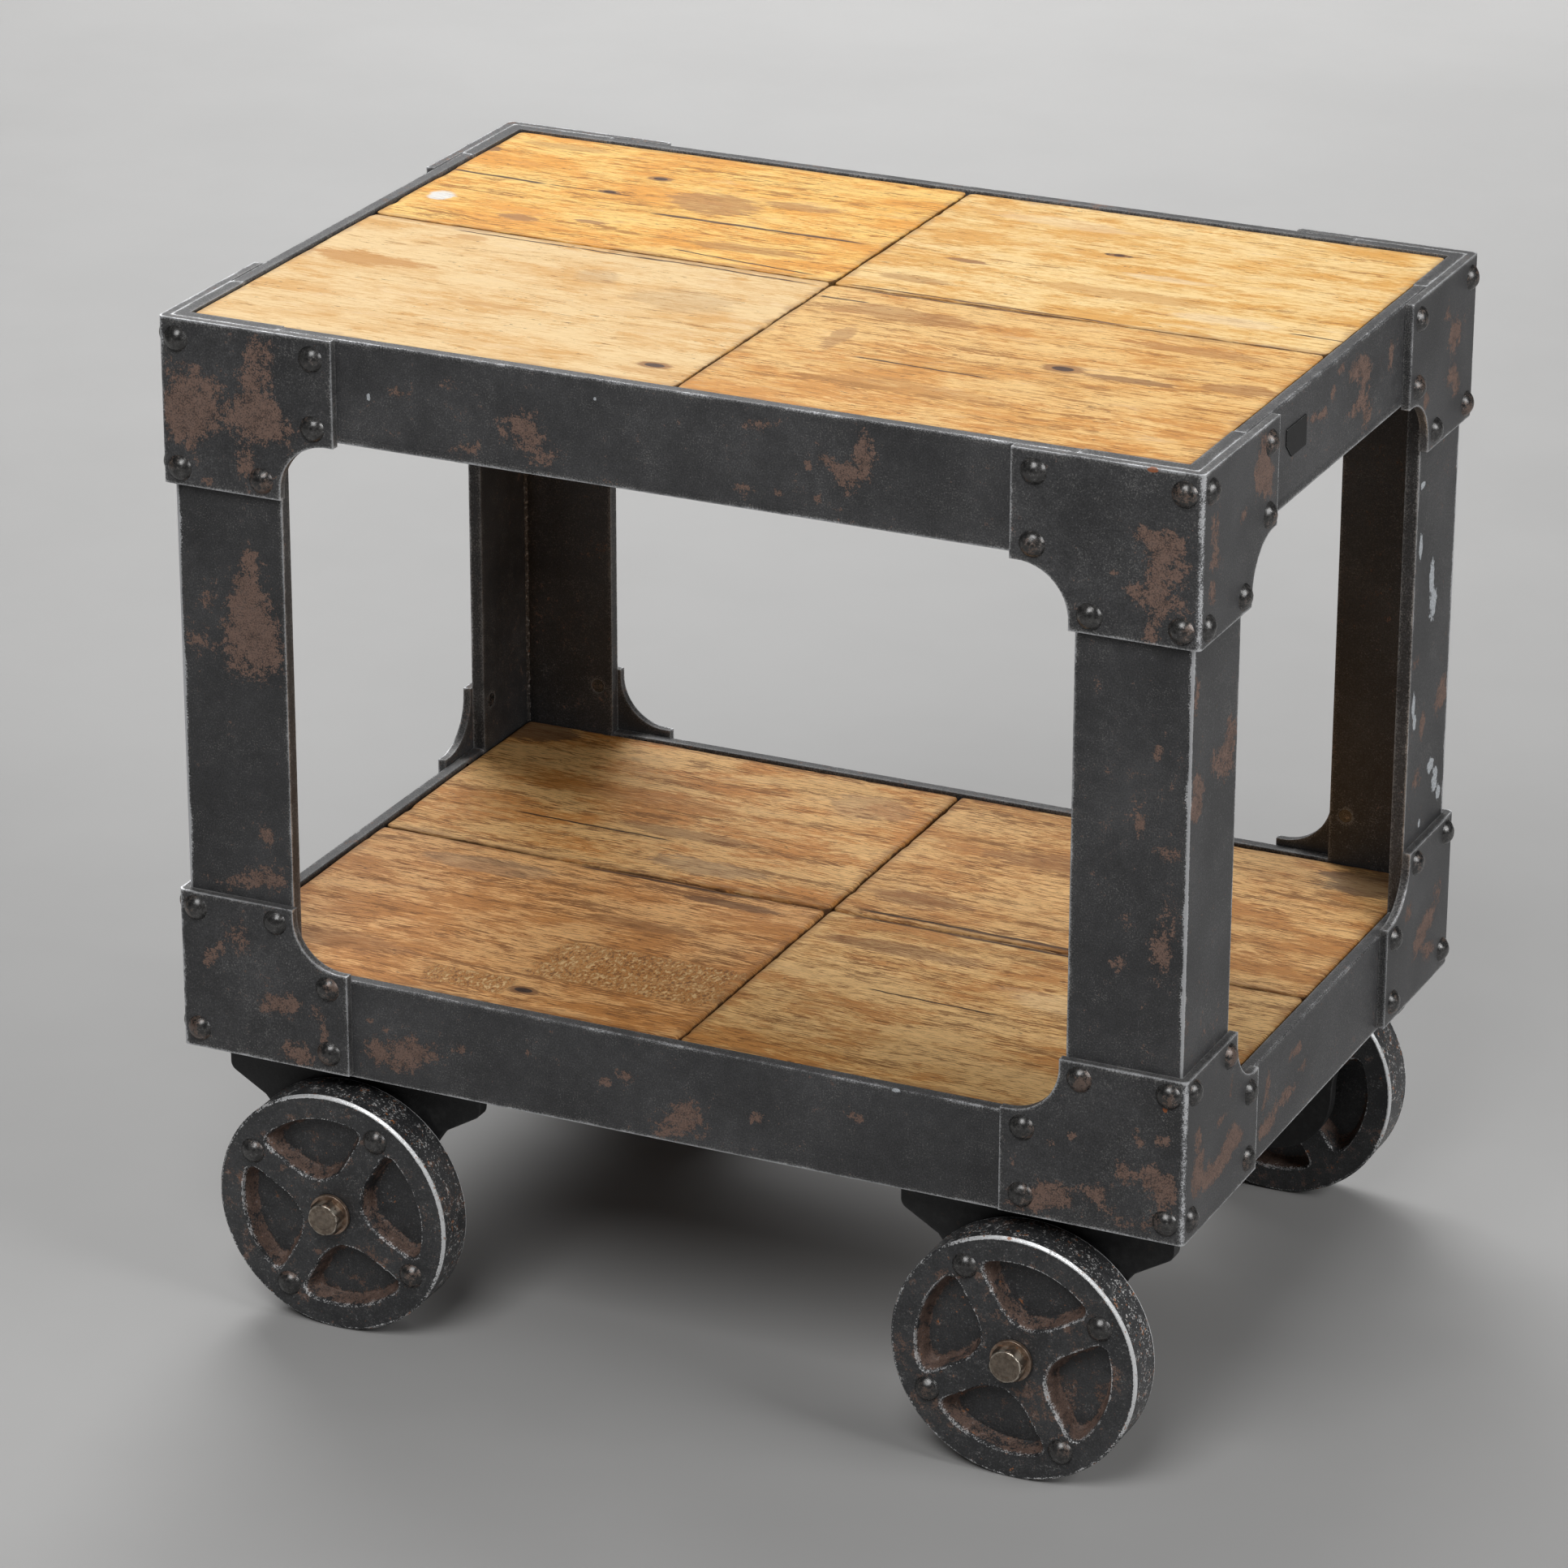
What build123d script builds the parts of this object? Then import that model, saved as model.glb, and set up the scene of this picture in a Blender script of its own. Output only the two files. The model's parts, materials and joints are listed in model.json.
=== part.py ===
from build123d import *
from math import cos, radians, sin, sqrt
import os

os.makedirs("parts", exist_ok=True)

# Rolling utility cart: two plank decks in riveted angle-steel frames, on four fixed iron wheels.
# X runs along the cart, Y from front to back, Z up. The origin is on the floor, under the middle.

# Overall sizes
overall_length = 600.0  # over the corner plates
overall_depth = 410.0  # over the corner plates
overall_height = 582.0  # floor to the upper frame's top edge
wheel_d = 142.5
wheel_headroom = 11.0  # wheel top to the lower frame's underside

# Corner plates: one bent plate round each corner of each frame
plate_t = 5.0
plate_arm = 105.0  # along the rail, from the corner
arm_overhang = 2.0  # plate past the rail's lower edge
foot_height = 34.0  # of the part that runs on along the leg, past the arm
strip_overhang = 2.0  # plate past the leg's flange edge
notch_flat = 4.0  # straight stretch at each end of the curved notch
plate_bend = 3.0  # outside radius of the bend
plate_lift = 2.0  # lower plates stop this far above the lower frame's underside

# Angle-steel legs and rails
leg_width = 65.0
leg_t = 8.0
rail_height = 58.0
rail_flange = 58.0  # horizontal flange that carries the planks
rail_t = 7.5
toe_radius = 1.0
butt_gap = 0.3  # leg edge to rail end, filled by a thin weld

# Planks
deck_drop = 1.0  # plank tops below the rail's top edge
deck_gap = 0.4  # planks to the steel round them
seam_gap = 0.8  # between two planks
plank_chamfer = 0.8
top_left_seam = 9.0
top_right_seam = 3.0
low_left_seam = 6.0
low_right_seam = 6.5

# Cross bars under the seam at mid-length
bar_width = 60.0
bar_t = 6.0
bar_lap = 28.0  # bar under each rail flange

# Corner-plate rivets
rivet_head_d = 14.6
rivet_head_h = 4.4
rivet_shank_d = 8.0
rivet_clearance = 0.1
corner_inset = 10.5  # rivets beside the bend, on both panels
row_inset = 11.5  # rivets under the frame's edge
arm_inset = 12.5  # rivets beside the arm's end
tip_inset = 9.5  # rivets above the notch and above the foot
strip_inset = 11.5  # inner rivet of the foot
stub_depth = 1.0  # rivets beside the bend stop this far into the leg
tail_recess = 0.2  # through rivets end below the steel's inner face

# Deck screws, driven up through the flanges and the cross bar
screw_d = 5.5
screw_head_d = 11.0
screw_head_h = 3.5
screw_bite = 30.0  # into the plank
screw_clearance = 0.2
screw_x_bar = 18.0
screw_x_rail = 60.0
screw_end_margin = 12.0  # side-rail screws from the flange's end

# Wheels: cast iron, four pockets in each face
wheel_width = 27.0
wheel_x = 206.4
wheel_stand_out = 4.0  # outer face past the corner plates
rim_chamfer = 1.0
rim_width = 13.5
spoke_width = 16.0
hub_radius = 21.0
pocket_depth = 11.0
pocket_corner = 6.0
pocket_draft = 20.0
stud_circle_r = 57.0
stud_depth = 10.0
stud_angle = 45.0  # studs stand on the spokes, halfway between the pockets
wheel_turns = {
    "front_left": 60.0,
    "front_right": 30.0,
    "back_left": 10.0,
    "back_right": 35.0,
}

# Axle bolts with a bronze bush in each wheel
axle_d = 12.0
bush_wall = 4.0
bush_bore_clearance = 0.05
bush_fit = 0.02
bolt_clearance = 0.25
washer_d = 24.0
washer_t = 2.5
wheel_float = 0.5  # wheel to the washer on each side
bolt_head_af = 18.0
bolt_head_h = 7.5
bolt_crown = 0.3  # round crown of the head, inside its flats
crown_slope = 60.0
nut_h = 10.5
bolt_tail = 3.0

# Wheel brackets: a hanging plate with a top flange, outline from the top middle
bracket_t = 8.0
bracket_half = 79.0
bracket_end = 20.0  # height of the wing's square end
bracket_corner = 6.0
wing_foot_x = 57.0
wing_foot_drop = 33.0
bracket_eye_r = 38.5
bracket_flange = 36.0
lag_x = 60.0
lag_d = 8.0
lag_head_af = 13.0
lag_head_h = 5.5
lag_bite = 32.0
lag_washer_d = 17.0
lag_washer_t = 1.6
lag_clearance = 0.25

# Blank tag on the right upper rail
tag_length = 29.0
tag_height = 17.0
tag_t = 0.8
tag_y = -63.5
tag_drop = 16.0
tag_clip = 8.0

# Sizes that follow
half_x = overall_length / 2
half_y = overall_depth / 2
steel_x = half_x - plate_t  # outer faces of legs and rails
steel_y = half_y - plate_t
frame_height = wheel_d + wheel_headroom  # floor to the lower frame's underside
arm_height = rail_height + arm_overhang
plate_height = arm_height + foot_height
upper_base = overall_height - rail_height
lower_base = frame_height
leg_strip = plate_t + leg_width + strip_overhang
long_half = steel_x - leg_width - butt_gap
side_half = steel_y - leg_width - butt_gap
deck_x = steel_x - max(leg_t, rail_t) - deck_gap
deck_y = steel_y - max(leg_t, rail_t) - deck_gap
plank_t = rail_height - rail_t - deck_drop
flange_inner_x = steel_x - rail_flange
flange_inner_y = steel_y - rail_flange
side_flange_half = steel_y - max(leg_width, rail_flange) - butt_gap
shank_r = rivet_shank_d / 2
hole_r = shank_r + rivet_clearance
screw_hole_r = screw_d / 2 + screw_clearance
lag_hole_r = lag_d / 2 + lag_clearance

wheel_r = wheel_d / 2
wheel_face_y = half_y + wheel_stand_out
bracket_face_y = wheel_face_y - wheel_width - wheel_float - washer_t
bracket_back_y = bracket_face_y - bracket_t
lag_y = bracket_face_y - bracket_t - (bracket_flange - bracket_t) / 2
bush_r = axle_d / 2 + bush_wall

corners = {
    "front_left": (-1, -1),
    "front_right": (1, -1),
    "back_left": (-1, 1),
    "back_right": (1, 1),
}
decks = {"upper": (overall_height, -1), "lower": (frame_height + plate_lift, 1)}
bases = {"upper": upper_base, "lower": lower_base}

# Rivet places on one panel: distance from the bend, distance from the frame's edge
stub_rivets = [
    (corner_inset, row_inset),
    (corner_inset, plate_height - tip_inset),
]
leg_rivets = [(leg_strip - strip_inset, plate_height - tip_inset)]
rail_rivets = [
    (plate_arm - arm_inset, row_inset),
    (plate_arm - arm_inset, arm_height - tip_inset),
]


def save(part, name):
    part.label = name
    export_step(part, f"parts/{name}.step")


def span(value, slack=0.01):
    # Limits that pick out edges lying at one coordinate
    return (value - slack, value + slack)


def front_plane(side, inset=0.0):
    # Sketch plane on the front (side -1) or back (side 1); sketch x is X, sketch y is Z
    return Plane.XZ.offset(-side * (half_y - inset))


def end_plane(side, inset=0.0):
    # Sketch plane on the left (side -1) or right (side 1); sketch x is Y, sketch y is Z
    return Plane.YZ.offset(side * (half_x - inset))


def panel_points(toward, half, deck, places):
    edge, down = decks[deck]
    return [(toward * (half - u), edge + down * v) for u, v in places]


# Legs: angle steel from the lower frame's underside to the top edge
def make_leg(side_x, side_y):
    with BuildPart() as leg:
        with BuildSketch(Plane.XY.offset(frame_height)):
            with Locations((side_x * (steel_x - leg_width / 2), side_y * (steel_y - leg_t / 2))):
                Rectangle(leg_width, leg_t)
            with Locations((side_x * (steel_x - leg_t / 2), side_y * (steel_y - leg_width / 2))):
                Rectangle(leg_t, leg_width)
        extrude(amount=overall_height - frame_height)
        for deck in decks:
            for places, depth in ((stub_rivets, stub_depth), (leg_rivets, leg_t)):
                with BuildSketch(front_plane(side_y, plate_t)):
                    with Locations(panel_points(side_x, half_x, deck, places)):
                        Circle(hole_r)
                extrude(amount=side_y * depth, mode=Mode.SUBTRACT)
                with BuildSketch(end_plane(side_x, plate_t)):
                    with Locations(panel_points(side_y, half_y, deck, places)):
                        Circle(hole_r)
                extrude(amount=-side_x * depth, mode=Mode.SUBTRACT)
    return leg.part


for corner, (side_x, side_y) in corners.items():
    save(make_leg(side_x, side_y), f"leg_{corner}")


# Four planks in each deck: (side of the mid seam, front edge, back edge) for each one
def plank_layout(left_seam, right_seam):
    near = -deck_y - seam_gap / 2
    far = deck_y + seam_gap / 2
    return {
        "front_left": (-1, near, left_seam),
        "back_left": (-1, left_seam, far),
        "front_right": (1, near, right_seam),
        "back_right": (1, right_seam, far),
    }


planks = {
    "upper": plank_layout(top_left_seam, top_right_seam),
    "lower": plank_layout(low_left_seam, low_right_seam),
}
screw_limit = side_flange_half - screw_end_margin
side_screw_x = (flange_inner_x + steel_x) / 2
rail_screw_y = (flange_inner_y + steel_y) / 2


def plank_screw_y(plank):
    middle = (plank[1] + plank[2]) / 2
    return max(-screw_limit, min(screw_limit, middle))


def side_screws(deck, side_x, x):
    return [(side_x * x, plank_screw_y(p)) for p in planks[deck].values() if p[0] == side_x]


rail_screws = [(i * screw_x_rail, j * rail_screw_y) for i in (-1, 1) for j in (-1, 1)]
lag_points = [
    (i * (wheel_x + k * lag_x), j * lag_y) for i in (-1, 1) for j in (-1, 1) for k in (-1, 1)
]


def screw_points(deck):
    points = list(rail_screws)
    for side_x in (-1, 1):
        points += side_screws(deck, side_x, side_screw_x)
        points += side_screws(deck, side_x, screw_x_bar)
    return points


# Front and back rails: upright flange between the legs, flat flange reaching into the corners
def make_long_rail(deck, side_y):
    base = bases[deck]
    ear_y = steel_y - max(leg_t, rail_t) - deck_gap
    with BuildPart() as rail:
        with BuildSketch(Plane.XY.offset(base)):
            with Locations((0, side_y * (steel_y - rail_flange / 2))):
                Rectangle(2 * long_half, rail_flange)
            with Locations((0, side_y * (flange_inner_y + ear_y) / 2)):
                Rectangle(2 * deck_x, ear_y - flange_inner_y)
        extrude(amount=rail_t)
        with BuildSketch(Plane.XY.offset(base)):
            with Locations((0, side_y * (steel_y - rail_t / 2))):
                Rectangle(2 * long_half, rail_t)
        extrude(amount=rail_height)
        fillet(rail.edges().filter_by(Axis.X).group_by(Axis.Z)[-1], toe_radius)
        with BuildSketch(front_plane(side_y, plate_t)):
            with Locations(panel_points(-1, half_x, deck, rail_rivets)):
                Circle(hole_r)
            with Locations(panel_points(1, half_x, deck, rail_rivets)):
                Circle(hole_r)
        extrude(amount=side_y * rail_t, mode=Mode.SUBTRACT)
        with BuildSketch(Plane.XY.offset(base)):
            with Locations([p for p in rail_screws if p[1] * side_y > 0]):
                Circle(screw_hole_r)
            if deck == "lower":
                with Locations([p for p in lag_points if p[1] * side_y > 0]):
                    Circle(lag_hole_r)
        extrude(amount=rail_t, mode=Mode.SUBTRACT)
    return rail.part


# Left and right rails: plain angle between the legs
def make_side_rail(deck, side_x):
    base = bases[deck]
    with BuildPart() as rail:
        with BuildSketch(Plane.XY.offset(base)):
            with Locations((side_x * (steel_x - rail_flange / 2), 0)):
                Rectangle(rail_flange, 2 * side_flange_half)
        extrude(amount=rail_t)
        with BuildSketch(Plane.XY.offset(base)):
            with Locations((side_x * (steel_x - rail_t / 2), 0)):
                Rectangle(rail_t, 2 * side_half)
        extrude(amount=rail_height)
        fillet(rail.edges().filter_by(Axis.Y).group_by(Axis.Z)[-1], toe_radius)
        with BuildSketch(end_plane(side_x, plate_t)):
            with Locations(panel_points(-1, half_y, deck, rail_rivets)):
                Circle(hole_r)
            with Locations(panel_points(1, half_y, deck, rail_rivets)):
                Circle(hole_r)
        extrude(amount=-side_x * rail_t, mode=Mode.SUBTRACT)
        with BuildSketch(Plane.XY.offset(base)):
            with Locations(side_screws(deck, side_x, side_screw_x)):
                Circle(screw_hole_r)
        extrude(amount=rail_t, mode=Mode.SUBTRACT)
    return rail.part


for deck in decks:
    save(make_long_rail(deck, -1), f"{deck}_rail_front")
    save(make_long_rail(deck, 1), f"{deck}_rail_back")
    save(make_side_rail(deck, -1), f"{deck}_rail_left")
    save(make_side_rail(deck, 1), f"{deck}_rail_right")


# Corner plates: two equal panels, each with a curved notch between its arm and its foot
def panel_face(toward, half, deck):
    edge, down = decks[deck]
    notch_r = min(plate_arm - leg_strip, plate_height - arm_height) - notch_flat

    def at(u, v):
        return (toward * (half - u), edge + down * v)

    centre_u = leg_strip + notch_r
    centre_v = arm_height + notch_r
    diagonal = notch_r * cos(radians(45))
    with BuildSketch() as panel:
        with BuildLine():
            Polyline(at(centre_u, arm_height), at(plate_arm, arm_height), at(plate_arm, 0), at(0, 0))
            Polyline(at(0, 0), at(0, plate_height), at(leg_strip, plate_height), at(leg_strip, centre_v))
            ThreePointArc(
                at(leg_strip, centre_v),
                at(centre_u - diagonal, centre_v - diagonal),
                at(centre_u, arm_height),
            )
        make_face()
    return panel.sketch


def make_plate(deck, side_x, side_y):
    rivets = stub_rivets + leg_rivets + rail_rivets
    with BuildPart() as plate:
        with BuildSketch(front_plane(side_y)):
            add(panel_face(side_x, half_x, deck))
            with Locations(panel_points(side_x, half_x, deck, rivets)):
                Circle(hole_r, mode=Mode.SUBTRACT)
        extrude(amount=side_y * plate_t)
        with BuildSketch(end_plane(side_x)):
            add(panel_face(side_y, half_y, deck))
            with Locations(panel_points(side_y, half_y, deck, rivets)):
                Circle(hole_r, mode=Mode.SUBTRACT)
        extrude(amount=-side_x * plate_t)
        upright = plate.edges().filter_by(Axis.Z).filter_by_position(Axis.X, *span(side_x * half_x))
        fillet(upright.filter_by_position(Axis.Y, *span(side_y * half_y)), plate_bend)
    return plate.part


for deck in decks:
    for corner, (side_x, side_y) in corners.items():
        save(make_plate(deck, side_x, side_y), f"{deck}_plate_{corner}")


# Rivets: domed head on the origin's plane, shank down the local Z axis
def make_rivet(head_d, head_h, shank_d, shank_length):
    dome_r = (head_h**2 + (head_d / 2) ** 2) / (2 * head_h)
    middle = sqrt(dome_r**2 - (head_d / 4) ** 2) - (dome_r - head_h)
    with BuildPart() as rivet:
        with BuildSketch(Plane.XZ):
            with BuildLine():
                ThreePointArc((0, head_h), (head_d / 4, middle), (head_d / 2, 0))
                Polyline(
                    (head_d / 2, 0),
                    (shank_d / 2, 0),
                    (shank_d / 2, -shank_length),
                    (0, -shank_length),
                    (0, head_h),
                )
            make_face()
        revolve(axis=Axis.Z)
    return rivet.part


def panel_locations(deck, side_x, side_y, places):
    # Places on both panels of one corner plate, local Z pointing out of the panel
    front = [
        Plane(origin=(x, side_y * half_y, z), x_dir=(1, 0, 0), z_dir=(0, side_y, 0))
        for x, z in panel_points(side_x, half_x, deck, places)
    ]
    end = [
        Plane(origin=(side_x * half_x, y, z), x_dir=(0, 1, 0), z_dir=(side_x, 0, 0))
        for y, z in panel_points(side_y, half_y, deck, places)
    ]
    return [plane.location for plane in front + end]


rivet_kinds = (
    (stub_rivets, plate_t + stub_depth - tail_recess),
    (leg_rivets, plate_t + leg_t - tail_recess),
    (rail_rivets, plate_t + rail_t - tail_recess),
)
for deck in decks:
    with BuildPart() as rivet_set:
        for places, shank_length in rivet_kinds:
            rivet = make_rivet(rivet_head_d, rivet_head_h, rivet_shank_d, shank_length)
            for side_x, side_y in corners.values():
                with Locations(panel_locations(deck, side_x, side_y, places)):
                    add(rivet)
    save(rivet_set.part, f"{deck}_plate_rivets")


# Planks of both decks, resting on the rails' flat flanges
def make_plank(deck, plank):
    side_x, front, back = plank
    base = bases[deck] + rail_t
    inner = seam_gap / 2
    length = deck_x - inner
    width = back - front - seam_gap
    with BuildPart() as board:
        with BuildSketch(Plane.XY.offset(base)):
            with Locations((side_x * (inner + length / 2), (front + back) / 2)):
                Rectangle(length, width)
        extrude(amount=plank_t)
        chamfer(board.faces().sort_by(Axis.Z)[-1].edges(), plank_chamfer)
        holes = [
            p
            for p in screw_points(deck)
            if p[0] * side_x > 0 and front < p[1] < back
        ]
        with BuildSketch(Plane.XY.offset(base)):
            with Locations(holes):
                Circle(screw_hole_r)
        extrude(amount=screw_bite + screw_clearance, mode=Mode.SUBTRACT)
        lags = [p for p in lag_points if p[0] * side_x > 0 and front < p[1] < back]
        if deck == "lower" and lags:
            with BuildSketch(Plane.XY.offset(base)):
                with Locations(lags):
                    Circle(lag_hole_r)
            extrude(amount=lag_bite + lag_clearance, mode=Mode.SUBTRACT)
    return board.part


for deck in decks:
    for name, plank in planks[deck].items():
        save(make_plank(deck, plank), f"{deck}_plank_{name}")


# Cross bar under the mid seam, with a packer that fills it up to the planks
def bar_screws(deck):
    return side_screws(deck, -1, screw_x_bar) + side_screws(deck, 1, screw_x_bar)


for deck in decks:
    base = bases[deck]
    with BuildPart() as bar:
        with BuildSketch(Plane.XY.offset(base - bar_t)):
            Rectangle(bar_width, 2 * (flange_inner_y + bar_lap))
            with Locations(bar_screws(deck)):
                Circle(screw_hole_r, mode=Mode.SUBTRACT)
        extrude(amount=bar_t)
    save(bar.part, f"{deck}_cross_bar")
    with BuildPart() as packer:
        with BuildSketch(Plane.XY.offset(base)):
            Rectangle(bar_width, 2 * (flange_inner_y - butt_gap))
            with Locations(bar_screws(deck)):
                Circle(screw_hole_r, mode=Mode.SUBTRACT)
        extrude(amount=rail_t)
    save(packer.part, f"{deck}_bar_packer")


# Deck screws: pan heads below the steel, shanks up into the planks
def make_screw(seat, tip):
    with BuildPart() as screw:
        with BuildSketch(Plane.XY.offset(seat - screw_head_h)):
            Circle(screw_head_d / 2)
        extrude(amount=screw_head_h)
        with BuildSketch(Plane.XY.offset(seat)):
            Circle(screw_d / 2)
        extrude(amount=tip - seat)
    return screw.part


for deck in decks:
    base = bases[deck]
    tip = base + rail_t + screw_bite
    flange_screw = make_screw(base, tip)
    bar_screw = make_screw(base - bar_t, tip)
    flange_points = list(rail_screws)
    for side_x in (-1, 1):
        flange_points += side_screws(deck, side_x, side_screw_x)
    with BuildPart() as screw_set:
        with Locations(flange_points):
            add(flange_screw)
        with Locations(bar_screws(deck)):
            add(bar_screw)
    save(screw_set.part, f"{deck}_deck_screws")


# Wheel, modelled round local Z with its outer face at z = 0
def pocket_face():
    outer_r = wheel_r - rim_width
    offset_in = spoke_width / 2
    lean = radians(stud_angle)

    def side_point(radius, sign):
        along = sqrt(radius**2 - offset_in**2)
        x = along * cos(lean) + offset_in * sin(lean)
        y = along * sin(lean) - offset_in * cos(lean)
        return (x, sign * y)

    with BuildSketch() as pocket:
        with BuildLine():
            Polyline(
                side_point(outer_r, -1),
                side_point(hub_radius, -1),
                side_point(hub_radius, 1),
                side_point(outer_r, 1),
            )
            ThreePointArc(side_point(outer_r, 1), (outer_r, 0), side_point(outer_r, -1))
        make_face()
        fillet(pocket.vertices(), pocket_corner)
    return pocket.sketch


pocket = pocket_face()
with BuildPart() as wheel_blank:
    with BuildSketch():
        Circle(wheel_r)
        Circle(bush_r + bush_fit, mode=Mode.SUBTRACT)
    extrude(amount=-wheel_width)
    rim_edges = wheel_blank.edges().filter_by(GeomType.CIRCLE).sort_by(SortBy.RADIUS)[-2:]
    chamfer(rim_edges, rim_chamfer)
    for level, way in ((0, -1), (-wheel_width, 1)):
        for quarter in range(4):
            with BuildSketch(Plane.XY.offset(level)):
                with Locations(Rotation(0, 0, 90 * quarter)):
                    add(pocket)
            extrude(amount=way * pocket_depth, taper=pocket_draft, mode=Mode.SUBTRACT)
    with BuildSketch():
        with PolarLocations(stud_circle_r, 4, start_angle=stud_angle):
            Circle(hole_r)
    extrude(amount=-stud_depth - tail_recess, mode=Mode.SUBTRACT)

with BuildPart() as bush_blank:
    with BuildSketch():
        Circle(bush_r)
        Circle(axle_d / 2 + bush_bore_clearance, mode=Mode.SUBTRACT)
    extrude(amount=-wheel_width)

wheel_stud = make_rivet(rivet_head_d, rivet_head_h, rivet_shank_d, stud_depth)


# Local Z points out of the cart; the turn sets where the studs stand at rest
def wheel_location(side_x, side_y, out_y, turn=0.0):
    seat = Plane(origin=(side_x * wheel_x, side_y * out_y, wheel_r), x_dir=(1, 0, 0), z_dir=(0, side_y, 0))
    return seat.location * Rotation(0, 0, -side_y * (turn - stud_angle))


for corner, (side_x, side_y) in corners.items():
    place = wheel_location(side_x, side_y, wheel_face_y, wheel_turns[corner])
    with BuildPart() as wheel:
        with Locations(place):
            add(wheel_blank.part)
    save(wheel.part, f"wheel_{corner}")
    with BuildPart() as bush:
        with Locations(place):
            add(bush_blank.part)
    save(bush.part, f"wheel_bush_{corner}")
    with BuildPart() as studs:
        with Locations(place):
            with PolarLocations(stud_circle_r, 4, start_angle=stud_angle):
                add(wheel_stud)
    save(studs.part, f"wheel_studs_{corner}")


# Wheel brackets: hanging plate with wings, and a flange under the lower rail
def make_bracket(side_x, side_y):
    middle = side_x * wheel_x
    wing_foot_z = frame_height - wing_foot_drop
    with BuildPart() as bracket:
        with BuildSketch(Plane.XZ.offset(-side_y * bracket_face_y)):
            for way in (-1, 1):
                with BuildLine():
                    Polyline(
                        (middle, wheel_r),
                        (middle, frame_height),
                        (middle + way * bracket_half, frame_height),
                        (middle + way * bracket_half, frame_height - bracket_end),
                        (middle + way * wing_foot_x, wing_foot_z),
                    )
                    TangentArc(
                        (middle + way * bracket_eye_r, wheel_r),
                        (middle + way * wing_foot_x, wing_foot_z),
                        tangent=(0, 1),
                    )
                    Line((middle + way * bracket_eye_r, wheel_r), (middle, wheel_r))
                make_face()
            with Locations((middle, wheel_r)):
                Circle(bracket_eye_r)
                Circle(axle_d / 2 + bolt_clearance, mode=Mode.SUBTRACT)
        extrude(amount=side_y * bracket_t)
        for way in (-1, 1):
            wing = bracket.edges().filter_by(Axis.Y)
            wing = wing.filter_by_position(Axis.X, *span(middle + way * bracket_half))
            fillet(wing.filter_by_position(Axis.Z, *span(frame_height - bracket_end)), bracket_corner)
        with BuildSketch(Plane.XY.offset(frame_height)):
            with Locations((middle, side_y * (bracket_face_y - bracket_flange / 2))):
                Rectangle(2 * bracket_half, bracket_flange)
            with Locations([(middle + way * lag_x, side_y * lag_y) for way in (-1, 1)]):
                Circle(lag_hole_r, mode=Mode.SUBTRACT)
        extrude(amount=-bracket_t)
    return bracket.part


for corner, (side_x, side_y) in corners.items():
    save(make_bracket(side_x, side_y), f"wheel_bracket_{corner}")

# Lag screws and washers that hold the brackets up to the rail and the planks
lag_seat = frame_height - bracket_t - lag_washer_t
with BuildPart() as lag_screw:
    with BuildSketch(Plane.XY.offset(lag_seat - lag_head_h)):
        RegularPolygon(lag_head_af / 2, 6, major_radius=False)
    extrude(amount=lag_head_h)
    with BuildSketch(Plane.XY.offset(lag_seat)):
        Circle(lag_d / 2)
    extrude(amount=frame_height + rail_t + lag_bite - lag_seat)
with BuildPart() as lag_set:
    with Locations(lag_points):
        add(lag_screw.part)
save(lag_set.part, "bracket_lag_screws")

with BuildPart() as lag_washers:
    with BuildSketch(Plane.XY.offset(lag_seat)):
        with Locations(lag_points):
            Circle(lag_washer_d / 2)
            Circle(lag_hole_r, mode=Mode.SUBTRACT)
    extrude(amount=lag_washer_t)
save(lag_washers.part, "bracket_washers")

# Axle bolts: hex head outside, through washer, wheel bush, washer, bracket, washer and nut
head_y = wheel_face_y + wheel_float + washer_t
nut_y = bracket_back_y - washer_t
bolt_length = head_y - nut_y + nut_h + bolt_tail
with BuildPart() as axle_bolt:
    with BuildSketch():
        RegularPolygon(bolt_head_af / 2, 6, major_radius=False)
    extrude(amount=bolt_head_h)
    with BuildSketch(Plane.XY.offset(bolt_head_h)):
        Circle(bolt_head_af / 2 - bolt_crown)
    extrude(amount=-bolt_head_h, taper=-crown_slope, mode=Mode.INTERSECT)
    with BuildSketch():
        Circle(axle_d / 2)
    extrude(amount=-bolt_length)
with BuildPart() as axle_washer:
    with BuildSketch():
        Circle(washer_d / 2)
        Circle(axle_d / 2 + bolt_clearance, mode=Mode.SUBTRACT)
    extrude(amount=-washer_t)
with BuildPart() as axle_nut:
    with BuildSketch():
        RegularPolygon(bolt_head_af / 2, 6, major_radius=False)
        Circle(axle_d / 2 + bush_bore_clearance, mode=Mode.SUBTRACT)
    extrude(amount=-nut_h)

washer_ys = (head_y, bracket_face_y + washer_t, bracket_back_y)
with BuildPart() as bolt_set:
    with Locations([wheel_location(i, j, head_y) for i, j in corners.values()]):
        add(axle_bolt.part)
save(bolt_set.part, "axle_bolts")
with BuildPart() as washer_set:
    with Locations([wheel_location(i, j, y) for i, j in corners.values() for y in washer_ys]):
        add(axle_washer.part)
save(washer_set.part, "axle_washers")
with BuildPart() as nut_set:
    with Locations([wheel_location(i, j, nut_y) for i, j in corners.values()]):
        add(axle_nut.part)
save(nut_set.part, "axle_nuts")

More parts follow.
